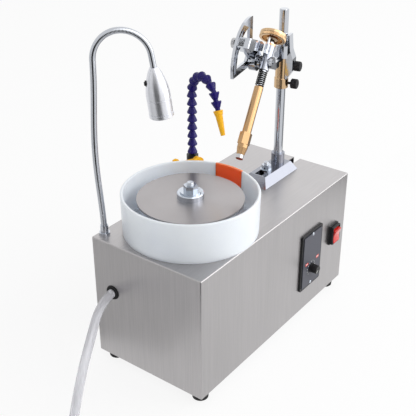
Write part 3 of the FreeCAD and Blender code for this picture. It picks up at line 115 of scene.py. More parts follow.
class Tree:
    """The node tree of a material or a world, with the shader that it starts with."""

    def __init__(self, owner: Material | World) -> None:
        """Turn the owner's nodes on and find its shader."""
        owner.use_nodes = True
        self.owner, self.tree = owner, owner.node_tree
        self.shader = next(n for n in self.tree.nodes if n.type in ("BSDF_PRINCIPLED", "BACKGROUND"))

    def node(self, kind: str, settings: dict[str, Any] | None = None,
             sockets: dict[str | int, Any] | None = None, out: str | int = 0) -> Sock:
        """Add a node.

        Args:
            kind: the node's type, without the ShaderNode prefix.
            settings: properties that are set before the sockets.
            sockets: values or links of the inputs.
            out: which output to hand back.

        Returns:
            The wrapped output.
        """
        made = self.tree.nodes.new("ShaderNode" + kind)
        for key, value in (settings or {}).items():
            setattr(made, key, value)
        for key, value in (sockets or {}).items():
            self.feed(made.inputs[key], value)
        return Sock(self, made.outputs[out])

    def feed(self, socket: NodeSocket, value: Any) -> None:
        """Link a wrapped output to a socket, or set the socket's own value."""
        if isinstance(value, Sock):
            self.tree.links.new(value.socket, socket)
        elif isinstance(value, tuple) and len(value) == 3 and socket.type == "RGBA":
            socket.default_value = (*value, 1.0)
        else:
            socket.default_value = value

    def maths(self, operation: str, *values: Any) -> Sock:
        """A Math node on up to three values."""
        return self.node("Math", {"operation": operation}, dict(enumerate(values)))

    def coords(self, scale: Sequence[float] = UNIT, shift: Sequence[float] = ORIGIN) -> Sock:
        """Object coordinates, shifted and then scaled."""
        source = self.node("TexCoord", out="Object")
        moved = self.node("VectorMath", {"operation": "SUBTRACT"}, {0: source, 1: tuple(shift)})
        return self.node("VectorMath", {"operation": "MULTIPLY"}, {0: moved, 1: tuple(scale)})

    def axes(self, vector: Sock) -> tuple[Sock, Sock, Sock]:
        """A vector's three parts."""
        split = self.node("SeparateXYZ", sockets={0: vector})
        return tuple(Sock(self, o) for o in split.socket.node.outputs)

    def noise(self, vector: Sock, scale: float, detail: float = 3.0) -> Sock:
        """Fractal noise from 0 to 1."""
        return self.node("TexNoise", sockets={"Vector": vector, "Scale": scale, "Detail": detail})

    def ramp(self, value: Sock, low: float, high: float, start: float = 0.0, end: float = 1.0) -> Sock:
        """A clamped change of range."""
        sockets = {"Value": value, "From Min": low, "From Max": high, "To Min": start, "To Max": end}
        return self.node("MapRange", {"clamp": True}, sockets)

    def spread(self, noise: Sock, start: float = 0.0, end: float = 1.0) -> Sock:
        """The middle of a noise's range, drawn out from one value to another."""
        return self.ramp(noise, NOISE_LOW, NOISE_HIGH, start, end)

    def mix(self, factor: Any, first: Any, second: Any) -> Sock:
        """A blend of two colours."""
        return self.node("Mix", {"data_type": "RGBA"}, {0: factor, 6: first, 7: second}, 2)

    def bump(self, height: Sock, strength: float, distance: float = FINE_RELIEF) -> Sock:
        """A normal from a height."""
        return self.node("Bump", sockets={"Height": height, "Strength": strength, "Distance": distance})

    def finish(self, **sockets: Any) -> Material | World:
        """Feed the shader's sockets, named with underscores for spaces."""
        for key, value in sockets.items():
            self.feed(self.shader.inputs[key.replace("_", " ").title().replace("Ior", "IOR")], value)
        return self.owner

    def shown(self) -> Sock:
        """One where the camera, a mirror or glass looks, and nought elsewhere."""
        path = self.node("LightPath").socket.node.outputs
        camera, glossy, through = (Sock(self, path[f"Is {kind} Ray"])
                                   for kind in ("Camera", "Glossy", "Transmission"))
        return self.maths("MINIMUM", camera + glossy + through, 1.0)

    def cover(self, factor: Sock, other: Sock) -> None:
        """Lead the shader to the output, with a share of another blended over it."""
        blend = self.node("MixShader", sockets={0: factor, 1: Sock(self, self.shader.outputs[0]), 2: other})
        output = next(n for n in self.tree.nodes if n.type.startswith("OUTPUT"))
        self.tree.links.new(blend.socket, output.inputs["Surface"])


class Grain(Enum):
    """Which way a brushed surface was rubbed."""

    UPRIGHT = (1.0, 1.0, 0.015)
    LENGTHWISE = (0.015, 1.0, 1.0)


MADE: dict["Finish", Material] = {}


@dataclass(frozen=True)
class Finish:
    """A surface that is made once and shared by every piece that has it."""

    name: str
    colour: Colour

    def material(self) -> Material:
        """The finish as a material."""
        if self not in MADE:
            MADE[self] = self.build(Tree(bpy.data.materials.new(self.name)))
        return MADE[self]

    def build(self, tree: Tree) -> Material:
        """Fill the material's nodes."""
        raise NotImplementedError

    def close(self, tree: Tree, shade: Sock, tint: float, **sockets: Any) -> Material:
        """Feed the shader, its colour going a tint darker to a tint lighter as the shade rises."""
        dark, light = (tuple(min(1.0, c * (1 + t)) for c in self.colour) for t in (-tint, tint))
        return tree.finish(base_color=tree.mix(shade, dark, light), **sockets)


@dataclass(frozen=True)
class BrushedSheet(Finish):
    """Stainless sheet: fine streaks upright on the walls and lengthwise on the top."""

    streaks: float = 900.0
    patches: float = 9.0
    patch_stretch: Spot = (1.0, 1.0, 0.4)
    top_lift: Span = (0.5, 0.8)
    rough: Span = (0.3, 0.42)
    tint: float = 0.1
    depth: float = 0.06

    def build(self, tree: Tree) -> Material:
        """Streaks are noise drawn out along the rub, chosen by which way the face looks."""
        wall, top = (tree.noise(tree.coords(rub.value), self.streaks, detail=4.0) for rub in Grain)
        lift = tree.axes(tree.node("NewGeometry", out="Normal"))[2].maths("ABSOLUTE")
        flat = tree.ramp(lift, *self.top_lift)
        streak = tree.node("Mix", {"data_type": "FLOAT"}, {0: flat, 2: wall, 3: top})
        broad = tree.noise(tree.coords(self.patch_stretch), self.patches, detail=2.0)
        shade = tree.spread(streak.blend(broad, share=0.75))
        return self.close(tree, shade, self.tint, metallic=1.0,
                          roughness=tree.spread(streak, *self.rough), normal=tree.bump(streak, self.depth))


@dataclass(frozen=True)
class Metal(Finish):
    """Plated or polished metal with faint handling marks."""

    rough: float = 0.12
    marks: float = 0.06
    clouds: float = 60.0
    scratches: float = 900.0
    marked: Span = (0.35, 0.65)
    tint: float = 0.05

    def build(self, tree: Tree) -> Material:
        """Soft noise moves the roughness and, a little, the colour."""
        cloud = tree.noise(tree.coords(), self.clouds, detail=4.0)
        fine = tree.noise(tree.coords(), self.scratches, detail=2.0)
        rough = tree.ramp(cloud.blend(fine, share=0.7), *self.marked, self.rough, self.rough + self.marks)
        return self.close(tree, cloud, self.tint, metallic=1.0, roughness=rough)


@dataclass(frozen=True)
class Threaded(Finish):
    """A plated stud whose thread runs round an upright axis."""

    pitch: float = 1.5 * MM
    clouds: float = 120.0
    shaded: Span = (-0.2, 0.8)
    rough: Span = (0.25, 0.4)
    tint: float = 0.25
    depth: float = 0.6
    relief: float = 0.0004

    def build(self, tree: Tree) -> Material:
        """The thread is a wave up the stud."""
        height = tree.axes(tree.coords())[2]
        wave = (height * (2 * math.pi / self.pitch)).maths("SINE")
        cloud = tree.noise(tree.coords(), self.clouds)
        shade = tree.ramp(wave.blend(cloud, share=0.5), *self.shaded)
        return self.close(tree, shade, self.tint, metallic=1.0,
                          roughness=tree.spread(cloud, *self.rough),
                          normal=tree.bump(wave, self.depth, self.relief))


@dataclass(frozen=True)
class GroundDisc(Finish):
    """A ground steel disc: fine rings about its own axis."""

    centre: Span = (-0.093, 0.0)
    rings: float = 2600.0
    patches: float = 14.0
    rough: Span = (0.26, 0.36)
    tint: float = 0.12
    depth: float = 0.12
    drawn: float = 0.75

    def build(self, tree: Tree) -> Material:
        """Rings are noise of the distance from the axis, and the same rings tilt the normal."""
        x, y, _ = tree.axes(tree.coords(shift=(*self.centre, 0)))
        radius = (x * x + y * y) ** 0.5
        line = tree.node("CombineXYZ", sockets={0: radius})
        rings = tree.noise(line, self.rings, detail=5.0)
        broad = tree.noise(tree.coords(), self.patches)
        shade = tree.spread(rings.blend(broad, share=0.6))
        return self.close(tree, shade, self.tint, metallic=1.0,
                          roughness=tree.spread(rings, *self.rough), anisotropic=self.drawn,
                          anisotropic_rotation=0.25, normal=tree.bump(rings, self.depth))


@dataclass(frozen=True)
class Turned(Finish):
    """Aluminium turned on a lathe: fine rings up its axis, which draw the highlights out along it."""

    rings: float = 1800.0
    stretch: Spot = (0.02, 0.02, 1.0)
    rough: Span = (0.34, 0.44)
    tint: float = 0.05
    drawn: float = 0.6

    def build(self, tree: Tree) -> Material:
        """Rings are noise drawn out flat round the axis."""
        rings = tree.noise(tree.coords(self.stretch), self.rings, detail=4.0)
        return self.close(tree, tree.spread(rings), self.tint, metallic=1.0,
                          roughness=tree.spread(rings, *self.rough), anisotropic=self.drawn,
                          anisotropic_rotation=0.25)


@dataclass(frozen=True)
class Plastic(Finish):
    """Moulded plastic or rubber with a fine skin."""

    rough: float = 0.4
    grain: float = 1200.0
    depth: float = 0.08
    coat: float = 0.0
    gloss: float = 0.5
    glow: float = 0.0
    patches: float = 25.0
    swing: float = 0.15
    tint: float = 0.06
    glow_depth: float = 12 * MM

    def build(self, tree: Tree) -> Material:
        """A fine noise roughens the skin, and a broad one varies its shade."""
        skin = tree.noise(tree.coords(), self.grain, detail=2.0)
        broad = tree.noise(tree.coords(), self.patches)
        rough = tree.spread(skin, self.rough * (1 - self.swing), self.rough * (1 + self.swing))
        return self.close(tree, broad, self.tint, roughness=rough,
                          coat_weight=self.coat, specular_ior_level=self.gloss, subsurface_weight=self.glow,
                          subsurface_scale=self.glow_depth, subsurface_radius=UNIT,
                          normal=tree.bump(skin, self.depth))


@dataclass(frozen=True)
class Clear(Finish):
    """Soft or hard plastic that lets light through."""

    clear: float
    ior: float
    clouds: float
    detail: float
    rough: Span
    tint: float = 0.02

    def build(self, tree: Tree) -> Material:
        """A faint cloud in the wall moves its shade and its roughness."""
        cloud = tree.noise(tree.coords(), self.clouds, self.detail)
        return self.close(tree, cloud, self.tint, ior=self.ior,
                          roughness=tree.spread(cloud, *self.rough), transmission_weight=self.clear)


STAINLESS = BrushedSheet("brushed_stainless", (0.455, 0.442, 0.446))
ZINC = Metal("zinc_plate", (0.54, 0.58, 0.64), 0.13, 0.08)
CHROME = Metal("chrome_plate", (0.53, 0.55, 0.59), 0.06, 0.05)
SATIN_CHROME = Metal("satin_chrome", (0.37, 0.385, 0.43), 0.16, 0.08)
# Chrome for the column base with painted shade: its colour is darkened to stand in for the darker reflections
# that the base shows.
CHROME_PAINTED_SHADE = Metal("chrome_painted_shade", (0.28, 0.29, 0.33), 0.12, 0.06)
POLISHED = Metal("polished_steel", (0.55, 0.55, 0.56), 0.1, 0.08)
BRASS = Metal("polished_brass", (0.62, 0.43, 0.25), 0.15, 0.09)
QUILL_BRASS = Metal("lacquered_brass", (0.47, 0.295, 0.15), 0.17, 0.09)
COPPER = Metal("bare_copper", (0.78, 0.42, 0.26), 0.2, 0.1)
DARK_STEEL = Metal("oiled_spring_steel", (0.05, 0.048, 0.046), 0.3, 0.15)
SATIN_ALUMINIUM = Turned("satin_aluminium", (0.72, 0.73, 0.77))
STUD = Threaded("threaded_stud", (0.58, 0.61, 0.66))
LAP_STEEL = GroundDisc("ground_lap", (0.37, 0.352, 0.357))
WHITE_BOWL = Plastic("white_bowl", (0.82, 0.88, 1.0), 0.32, 500.0, 0.03, glow=0.6)
ORANGE_GATE = Plastic("orange_gate", (1.0, 0.13, 0.025), 0.42, gloss=0.35, glow=0.9)
BLACK_KNOB = Plastic("black_knob", (0.012, 0.012, 0.014), 0.34, gloss=0.25)
BLACK_RUBBER = Plastic("black_rubber", (0.012, 0.012, 0.013), 0.55, 700.0, 0.2, gloss=0.2)
INDIGO = Plastic("indigo_hose", (0.014, 0.007, 0.135), 0.2, 900.0, 0.03, gloss=0.25)
AMBER = Plastic("amber_nozzle", (1.0, 0.5, 0.012), 0.35, 900.0, 0.05, gloss=0.35)
PANEL_GREY = Plastic("panel_grey", (0.062, 0.064, 0.083), 0.5, 1500.0, 0.15)
RED_SWITCH = Plastic("red_switch", (0.62, 0.02, 0.015), 0.25, 600.0, 0.02, 0.4)
WHITE_MARK = Plastic("white_marks", (0.82, 0.82, 0.8), 0.5)
RED_MARK = Plastic("red_marks", (0.78, 0.1, 0.08), 0.4)
DARK_MARK = Plastic("engraved_marks", (0.03, 0.03, 0.03), 0.6)
MOTOR_BLACK = Plastic("motor_paint", (0.03, 0.03, 0.034), 0.45, 600.0, 0.15)
DOP_WAX = Plastic("red_brown_wax", (0.2, 0.045, 0.025), 0.35)
CLEAR_HOSE = Clear("milky_hose", (0.88, 0.88, 0.92), 0.5, 1.4, 10.0, 2.0, (0.14, 0.2))
LENS = Clear("lamp_lens", (0.95, 0.96, 0.98), 0.7, 1.45, 400.0, 1.0, (0.05, 0.12))

NODE_FINISHES: dict[Finish, str] = {
    STAINLESS: "cabinet_shell",
    ZINC: "base_plate foot_screws motor_mount clamp_plate lap_flange lap_washer lap_nut base_nut",
    STUD: "base_bolt spindle",
    LAP_STEEL: "lap_disc motor_rotor motor_bearings",
    CHROME: "column swivel_block protractor hinge_pin index_pin lamp_fitting pointer_arm quill_spindle "
            "lock_knob",
    SATIN_CHROME: "quill_housing",
    CHROME_PAINTED_SHADE: "column_base",
    BRASS: "height_collar index_wheel",
    QUILL_BRASS: "quill_tube collet_nut",
    COPPER: "housing_bush motor_stator",
    POLISHED: "dop_stick gooseneck",
    SATIN_ALUMINIUM: "lap_support lamp_shell motor_end_cap",
    DARK_STEEL: "quill_spring",
    BLACK_RUBBER: "rubber_feet hose_grommet cord_gland",
    BLACK_KNOB: "collar_knob swing_knob valve_body controller_case speed_knob rocker_bezel lamp_switch",
    WHITE_BOWL: "splash_bowl drain_spigot",
    ORANGE_GATE: "splash_gate",
    CLEAR_HOSE: "drain_hose drain_hose_coil drain_hose_inner",
    INDIGO: "hose_segments",
    AMBER: "hose_nozzle valve_handle",
    PANEL_GREY: "controller_face",
    RED_SWITCH: "rocker",
    MOTOR_BLACK: "motor_can",
    LENS: "lamp_lens",
}


def mm(points: Line) -> Array:
    """Numbers that are written in millimetres, in metres."""
    return np.asarray(points, float) * MM


def frame_at(spot: Sequence[float], *turns: tuple[str, float]) -> Array:
    """A place in the row frame.

    Args:
        spot: the origin, in metres.
        turns: axis letters and degrees, applied from left to right as nested turns.

    Returns:
        A 4 by 4 matrix.
    """
    made = Matrix.Translation(Vector(spot))
    for axis, angle in turns:
        made = made @ Matrix.Rotation(math.radians(angle), 4, axis)
    return np.array(made)


def placed(points: Array, matrix: Array) -> Array:
    """Points carried by a matrix."""
    return points @ matrix[:3, :3].T + matrix[:3, 3]


def surface(points: Array, wrap_rows: bool = False, wrap_columns: bool = False) -> Shape:
    """A grid of points as vertices and quads.

    Args:
        points: rows by columns by 3.
        wrap_rows: join the last row to the first.
        wrap_columns: join the last column to the first.

    Returns:
        Vertices and quads.
    """
    rows, columns = points.shape[:2]
    ends = np.arange(rows if wrap_rows else rows - 1), np.arange(columns if wrap_columns else columns - 1)
    i, j = (a.ravel() for a in np.meshgrid(*ends, indexing="ij"))
    k, m = (i + 1) % rows, (j + 1) % columns
    quads = [i * columns + j, k * columns + j, k * columns + m, i * columns + m]
    return points.reshape(-1, 3), np.stack(quads, axis=1)


def joined(parts: Sequence[Shape]) -> Shape:
    """Several surfaces as one."""
    starts = np.cumsum([0] + [len(v) for v, _ in parts])
    faces = np.concatenate([f + s for (_, f), s in zip(parts, starts)])
    return np.concatenate([v for v, _ in parts]), faces


def turned(profile: Line, matrix: Array, steps: int = 64,
           flute: Callable[[Array, Array], Array] | None = None) -> Shape:
    """A profile of radius and height spun about Z.

    Args:
        profile: radius and height pairs, from one end of the axis to the other or round a closed loop.
        matrix: where the axis stands.
        steps: points round the axis.
        flute: radius factor as a function of profile row and angle, both as grids.

    Returns:
        Vertices and quads of x = r cos a, y = r sin a, z = height.
    """
    line = np.asarray(profile, float)
    angle = np.linspace(0, 2 * math.pi, steps, endpoint=False)
    row, turn = np.meshgrid(np.arange(len(line)), angle, indexing="ij")
    radius = line[row, 0] * (flute(row, turn) if flute else 1.0)
    points = np.stack([radius * np.cos(turn), radius * np.sin(turn), line[row, 1]], axis=-1)
    open_ends = np.isclose(line[[0, -1], 0], 0).all()
    return surface(placed(points, matrix), not open_ends, True)


def softened(outer: Line, rest: Line, rounds: int = 2, cut: float = 0.18) -> Array:
    """A closed profile whose outer line has its corners cut by Chaikin's rule, which keeps its ends.

    Args:
        outer: the line that is softened, in millimetres.
        rest: the rest of the profile, left as it is, in millimetres.
        rounds: how many times the corners are cut.
        cut: the share of each stretch that a cut takes.

    Returns:
        The whole profile, in metres.
    """
    line = mm(outer)
    for _ in range(rounds):
        near, far = (line[:-1] * (1 - part) + line[1:] * part for part in (cut, 1 - cut))
        line = np.concatenate([line[:1], np.stack([near, far], axis=1).reshape(-1, 2), line[-1:]])
    return np.concatenate([line, mm(rest)])


def swept(path: Array, side: Array, radius: Array, sides: int = 20) -> Shape:
    """A round section carried along a path.

    Args:
        path: points of the centre line.
        side: a vector across the path, or one for each point.
        radius: the section's radius at each point.
        sides: points round the section.

    Returns:
        Vertices and quads of path + radius (cos a * side + sin a * (tangent x side)), with closed ends.
    """
    tangent = np.gradient(path, axis=0)
    tangent /= np.linalg.norm(tangent, axis=1, keepdims=True)
    across = np.broadcast_to(side, path.shape)
    across = across - tangent * (across * tangent).sum(1, keepdims=True)
    across = across / np.linalg.norm(across, axis=1, keepdims=True)
    up = np.cross(tangent, across)
    angle = np.linspace(0, 2 * math.pi, sides, endpoint=False)
    ring = np.cos(angle)[None, :, None] * across[:, None] + np.sin(angle)[None, :, None] * up[:, None]
    points = path[:, None] + ring * radius[:, None, None]
    caps = [np.repeat(path[k][None, None], sides, axis=1) for k in (0, -1)]
    return surface(np.concatenate([caps[0], points, caps[1]]), False, True)


def slab(low: Sequence[float], high: Sequence[float], matrix: Array) -> Shape:
    """A box between two corners, as eight points and six quads."""
    xs, ys, zs = zip(low, high)
    corner = np.array([[x, y, z] for z in zs for y in ys for x in xs])
    faces = [[0, 2, 3, 1], [4, 5, 7, 6], [0, 1, 5, 4], [2, 6, 7, 3], [0, 4, 6, 2], [1, 3, 7, 5]]
    return placed(corner, matrix), np.array(faces)


def extruded(outline: Line, span: Span, matrix: Array, bevel: float) -> Shape:
    """An outline in X and Z carried along Y, with its two ends drawn in by a bevel.

    Args:
        outline: points of a closed loop, in order.
        span: where it begins and ends along Y.
        matrix: where it stands.
        bevel: the bevel's width.

    Returns:
        Vertices and quads of middle + scale (point - middle), one scale for each row along Y.
    """
    line, (low, high) = np.asarray(outline, float), span
    middle = line.mean(axis=0)
    inset = 1 - bevel / np.abs(line - middle).max()
    rows = ((low, 0.0), (low, inset), (low + bevel, 1.0), (high - bevel, 1.0), (high, inset), (high, 0.0))
    flat = [np.insert(middle + scale * (line - middle), 1, along, axis=1) for along, scale in rows]
    return surface(placed(np.stack(flat), matrix), False, True)


def bordered(half: Span, corner: float, profile: Line, matrix: Array, steps: int = 6) -> Shape:
    """A border round a rounded rectangle in X and Z.

    Args:
        half: half the rectangle's width and height.
        corner: its corner radius.
        profile: a closed loop of outward offsets and places along Y.
        matrix: where it stands.
        steps: points round each corner.

    Returns:
        Vertices and quads of corner centre + (radius + offset) (cos a, sin a), round the rectangle.
    """
    loop = np.asarray(profile, float)
    turn = np.linspace(0, math.pi / 2, steps) + np.arange(4)[:, None] * math.pi / 2
    sign = np.array([(1, 1), (-1, 1), (-1, -1), (1, -1)])
    centre = np.repeat(sign * (np.array(half) - corner), steps, axis=0)[:, None]
    ray = np.stack([np.cos(turn.ravel()), np.sin(turn.ravel())], axis=1)[:, None]
    flat = centre + ray * (corner + loop[:, 0])[None, :, None]
    points = np.insert(flat, 1, np.broadcast_to(loop[:, 1], flat.shape[:2]), axis=2)
    return surface(placed(points, matrix), True, True)


def linked(name: str, data: ID) -> Object:
    """A new object in the scene, on its data."""
    item = bpy.data.objects.new(name, data)
    bpy.context.scene.collection.objects.link(item)
    return item


def add_piece(name: str, shape: Shape, finish: Finish, body: str,
              stands_for: Sequence[str] = (), sharp: float = 32.0) -> Object:
    """Put a surface into the scene as a piece of the object.

    Args:
        name: the piece's name.
        shape: vertices and quads, in the row frame.
        finish: its surface.
        body: the body it moves with.
        stands_for: the frame's nodes that it is shown in place of.
        sharp: the angle past which an edge stays sharp, in degrees.

    Returns:
        The new object.
    """
    mesh = bpy.data.meshes.new(name)
    mesh.from_pydata(shape[0].tolist(), [], shape[1].tolist())
    work = bmesh.new()
    work.from_mesh(mesh)
    bmesh.ops.remove_doubles(work, verts=work.verts, dist=WELD)
    bmesh.ops.recalc_face_normals(work, faces=work.faces)
    work.to_mesh(mesh)
    work.free()
    mesh.shade_smooth()
    mesh.set_sharp_from_angle(angle=math.radians(sharp))
    mesh.materials.append(finish.material())
    item = linked(name, mesh)
    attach(item, body)
    if stands_for:
        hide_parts(*stands_for)
    LOG.info("piece %s: %d faces on %s", name, len(mesh.polygons), body)
    return item


@dataclass
class DrainHose:
    """The milky drain hose: out of the cabinet's end, down to the floor and into its put-away coil."""

    radius: float = 6.25 * MM
    route: tuple[Spot, ...] = (
        (-0.1982, 0.061, 0.1296), (-0.229, 0.056, 0.1275), (-0.262, 0.036, 0.1165), (-0.299, 0.017, 0.1),
        (-0.331, 0.0035, 0.066), (-0.352, -0.0055, 0.031), (-0.388, -0.0208, 0.0064),
        (-0.4275, -0.0375, 0.0064),
    )
    coil_radius: float = 77 * MM
    coil_pitch: float = 14 * MM
    quarters: int = 7
    quarter_steps: int = 5
    length: float = 1.02

    def coil(self) -> Array:
        """Points of the coil: quarter turns whose radius shrinks by a quarter of the pitch each."""
        spot, before = np.array(self.route[-1]), np.array(self.route[-2])
        heading = math.atan2(spot[1] - before[1], spot[0] - before[0])
        points = []
        for quarter in range(self.quarters):
            bend = self.coil_radius - self.coil_pitch / 4 * quarter
            centre = spot + bend * np.array([-math.sin(heading), math.cos(heading), 0])
            turn = heading - math.pi / 2 + np.linspace(0, math.pi / 2, self.quarter_steps + 1)[1:]
            arc = centre + bend * np.stack([np.cos(turn), np.sin(turn), np.zeros_like(turn)], axis=1)
            points.append(arc)
            spot, heading = arc[-1], heading + math.pi / 2
        return np.concatenate(points)

    def build(self) -> None:
        """One smooth tube along the route and its coil."""
        line = bpy.data.curves.new("drain_hose_tube", "CURVE")
        line.dimensions = "3D"
        line.bevel_depth = self.radius
        line.bevel_resolution = 6
        line.resolution_u = 10
        line.use_fill_caps = True
        spots = np.concatenate([np.array(self.route), self.coil()])
        spline = line.splines.new("NURBS")
        spline.points.add(len(spots) - 1)
        spline.points.foreach_set("co", np.c_[spots, np.ones(len(spots))].ravel())
        spline.order_u = 4
        spline.use_endpoint_u = True
        line.materials.append(CLEAR_HOSE.material())
        tube = linked("drain_hose_tube", line)
        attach(tube, "cabinet")
        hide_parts("drain_hose", "drain_hose_coil")


@dataclass
class Manipulator:
    """The head on the column and the quill that tilts in it, with the finer pieces on both.

    A row of the grip's profile has a share of the knob's radius, the end it is counted from (0 near, 1 far),
    its distance from there in millimetres, and its share of the lobes' depth.
    """

    column_x: float = 0.133
    swing: float = 12.5
    hinge_reach: float = 71 * MM
    hinge_height: float = 411.7 * MM
    tilt: float = 40.4
    clamp_knobs: tuple[tuple[str, str, float, float, float], ...] = (
        ("collar_knob", "collar_screw", 359 * MM, 15.75 * MM, 7.3 * MM),
        ("swing_knob", "swing_screw", 387 * MM, 19.4 * MM, 11 * MM),
    )
    knob_size: Span = (7.5 * MM, 10.5 * MM)
    knob_lobes: int = 18
    knob_screw: float = 2 * MM
    lobe_depth: float = 0.055
    grip_profile: tuple[tuple[float, float, float, float], ...] = (
        (0.8, 0, 0, 0.3), (0.96, 0, 0.5, 0.8), (1, 0, 1.3, 1), (1, 1, -1.6, 1), (0.95, 1, -0.6, 0.8),
        (0.84, 1, 0, 0.3), (0.5, 1, 0, 0), (0.45, 1, -0.5, 0), (0, 1, -0.5, 0),
    )
    lock_reach: float = 55.5 * MM
    lock_start: Span = (28.7 * MM, 19 * MM)
    lock_size: Span = (7 * MM, 6 * MM)
    lock_lobes: int = 28
    spring_mean: float = 5.7 * MM
    spring_wire: float = 0.8 * MM
    spring_span: Span = (-37.4 * MM, -12.8 * MM)
    spring_turns: int = 8
    spring_steps: int = 32
    wheel_profile: Outline = (
        (4.52, 35), (8, 35), (8, 40), (15.2, 40), (15.2, 35), (18.6, 35), (19.2, 35.6), (19.2, 38.4),
        (18.7, 38.9), (18.7, 39.5), (19.2, 40), (19.2, 43.4), (18.6, 44), (11, 44), (10.4, 43.5),
        (4.52, 43.5),
    )
    wheel_teeth: int = 64
    notched_rows: tuple[int, ...] = (5, 6, 7)
    notch_depth: float = 0.05
    plate_faces: Span = (-24.5 * MM, -28.5 * MM)
    scale_radius: float = 51.2 * MM
    scale_end: int = 70
    tick_half: Spot = (0.6 * MM, 0.03 * MM, 0.16 * MM)
    tick_longer: float = 1.6 * MM
    stick_end: float = -145.5 * MM
    wax_profile: Outline = ((0, 1.2), (5.25, 1.2), (5.25, 0.4), (4.85, -0.02), (0, -0.02))
    brace_outline: Outline = ((61, -7.5), (61, 7.5), (15, 24), (6, 24), (6, 13), (40, -1), (46, -7.5))
    brace_span: Span = (-24.2 * MM, -7 * MM)

    def head(self) -> Array:
        """The head's frame: X to the lap, Y to the front, about the column."""
        return frame_at((self.column_x, 0, 0), ("Z", 180 + self.swing))

    def hinge(self) -> Array:
        """The head's frame moved to the quill's hinge."""
        return self.head() @ frame_at((self.hinge_reach, 0, self.hinge_height))

    def quill(self) -> Array:
        """The quill's frame: Z up the quill, X along the pointer."""
        return self.hinge() @ frame_at(ORIGIN, ("Y", -self.tilt))

    def grip(self, matrix: Array, start: Span, size: Span, lobes: int) -> Shape:
        """A hand knob on its screw: a turned form whose skirt is r (1 + d cos(lobes a)).

        Args:
            matrix: the screw's frame, with Z outwards.
            start: where the knob and its screw begin along the screw.
            size: the knob's radius over its lobes, and its length.
            lobes: how many lobes go round it.

        Returns:
            Vertices and quads.
        """
        (face, screw), (radius, length) = start, size
        share, end, offset, lobed = np.array(self.grip_profile).T
        mean = radius / (1 + self.lobe_depth)
        shank = [(0, screw), (self.knob_screw, screw), (self.knob_screw, face)]
        line = np.concatenate([shank, np.stack([mean * share, face + end * length + mm(offset)], axis=1)])
        depth = self.lobe_depth * np.concatenate([np.zeros(len(shank)), lobed])
        return turned(line, matrix, lobes * 6, lambda row, turn: 1 + depth[row] * np.cos(lobes * turn))

    def knobs(self) -> None:
        """The two clamp knobs of the head and the knob that locks the quill's angle."""
        for name, body, height, face, screw in self.clamp_knobs:
            frame = self.head() @ frame_at((0, 0, height), ("X", -90))
            shape = self.grip(frame, (face, screw), self.knob_size, self.knob_lobes)
            add_piece(name + "_grip", shape, BLACK_KNOB, body, [name])
        lock = self.quill() @ frame_at((self.lock_reach, 0, 0), ("X", 90))
        shape = self.grip(lock, self.lock_start, self.lock_size, self.lock_lobes)
        add_piece("lock_knob_grip", shape, POLISHED, "lock_screw", ["lock_knob"])

    def spring(self) -> None:
        """The quill's spring: a round wire along x = r cos a, y = r sin a, with z rising by the turn."""
        low, high = (self.spring_span[0] + self.spring_wire, self.spring_span[1] - self.spring_wire)
        part = np.linspace(0, 1, self.spring_turns * self.spring_steps + 1)
        angle = part * self.spring_turns * 2 * math.pi
        side = np.stack([np.cos(angle), np.sin(angle), np.zeros_like(angle)], axis=1)
        line = self.spring_mean * side
        line[:, 2] = low + (high - low) * part
        frame = self.quill()
        wire = np.full(len(part), self.spring_wire)
        shape = swept(placed(line, frame), side @ frame[:3, :3].T, wire, sides=10)
        add_piece("spring_coils", shape, DARK_STEEL, "quill", ["quill_spring"])

    def wheel(self) -> None:
        """The index wheel: a turned disc, hollow below, whose rim has V notches of depth d |saw(teeth a)|."""
        toothed = np.zeros(len(self.wheel_profile))
        toothed[list(self.notched_rows)] = self.notch_depth

        def notch(row: Array, turn: Array) -> Array:
            """Radius factor: a triangle wave round the rim's lower band."""
            saw = np.abs((turn * self.wheel_teeth / (2 * math.pi)) % 1.0 - 0.5) * 2
            return 1 - toothed[row] * np.clip(saw * 2 - 1, 0, 1)

        shape = turned(mm(self.wheel_profile), self.quill(), self.wheel_teeth * 6, notch)
        add_piece("index_wheel_notched", shape, BRASS, "index", ["index_wheel"])

    def scale(self) -> None:
        """Engraved degree marks on both faces of the protractor, every two degrees and longer every ten."""
        marks = []
        reach, deep, wide = self.tick_half
        for degree in range(0, self.scale_end + 1, 2):
            inner = self.scale_radius - (self.tick_longer if degree % 10 == 0 else 0.0) - reach
            tick = self.hinge() @ frame_at(ORIGIN, ("Y", -degree))
            for face in self.plate_faces:
                high = (self.scale_radius + reach, face + deep, wide)
                marks.append(slab((inner, face - deep, -wide), high, tick))
        add_piece("protractor_scale", joined(marks), DARK_MARK, "head")

    def wax(self) -> None:
        """A cap of wax on the end of the stick, a shallow turned dome just over the end."""
        line = mm(self.wax_profile) + (0, self.stick_end)
        add_piece("stick_wax", turned(line, self.quill(), steps=40), DOP_WAX, "index")

    def brace(self) -> None:
        """The stout bar from the pointer's block up to the top of the housing."""
        shape = extruded(mm(self.brace_outline), self.brace_span, self.quill(), EDGE)
        add_piece("pointer_brace", shape, CHROME, "quill")

    def build(self) -> None:
        """Every finer piece of the manipulator."""
        self.brace()
        self.knobs()
        self.spring()
        self.wheel()
        self.scale()
        self.wax()


@dataclass(frozen=True)
class Crook:
    """A line in X and Z: up a straight rise, round a bend towards X, and down along a tail that leans out."""

    foot: float
    top: float
    bend: float
    lean: float
    tail: float

    def lengths(self) -> Spot:
        """How long the rise, the bend and the tail are."""
        return self.top - self.foot, self.bend * (math.pi - math.radians(self.lean)), self.tail

    def station(self, run: Any) -> tuple[Any, Any, Any]:
        """X, Z and the turn, in radians, at one or more distances along the line."""
        rise, arc, _ = self.lengths()
        turn = np.clip((run - rise) / self.bend, 0, math.pi - math.radians(self.lean))
        rest = np.clip(run - rise - arc, 0, None)
        x = self.bend * (1 - np.cos(turn)) + rest * np.sin(turn)
        return x, self.foot + np.minimum(run, rise) + self.bend * np.sin(turn) + rest * np.cos(turn), turn


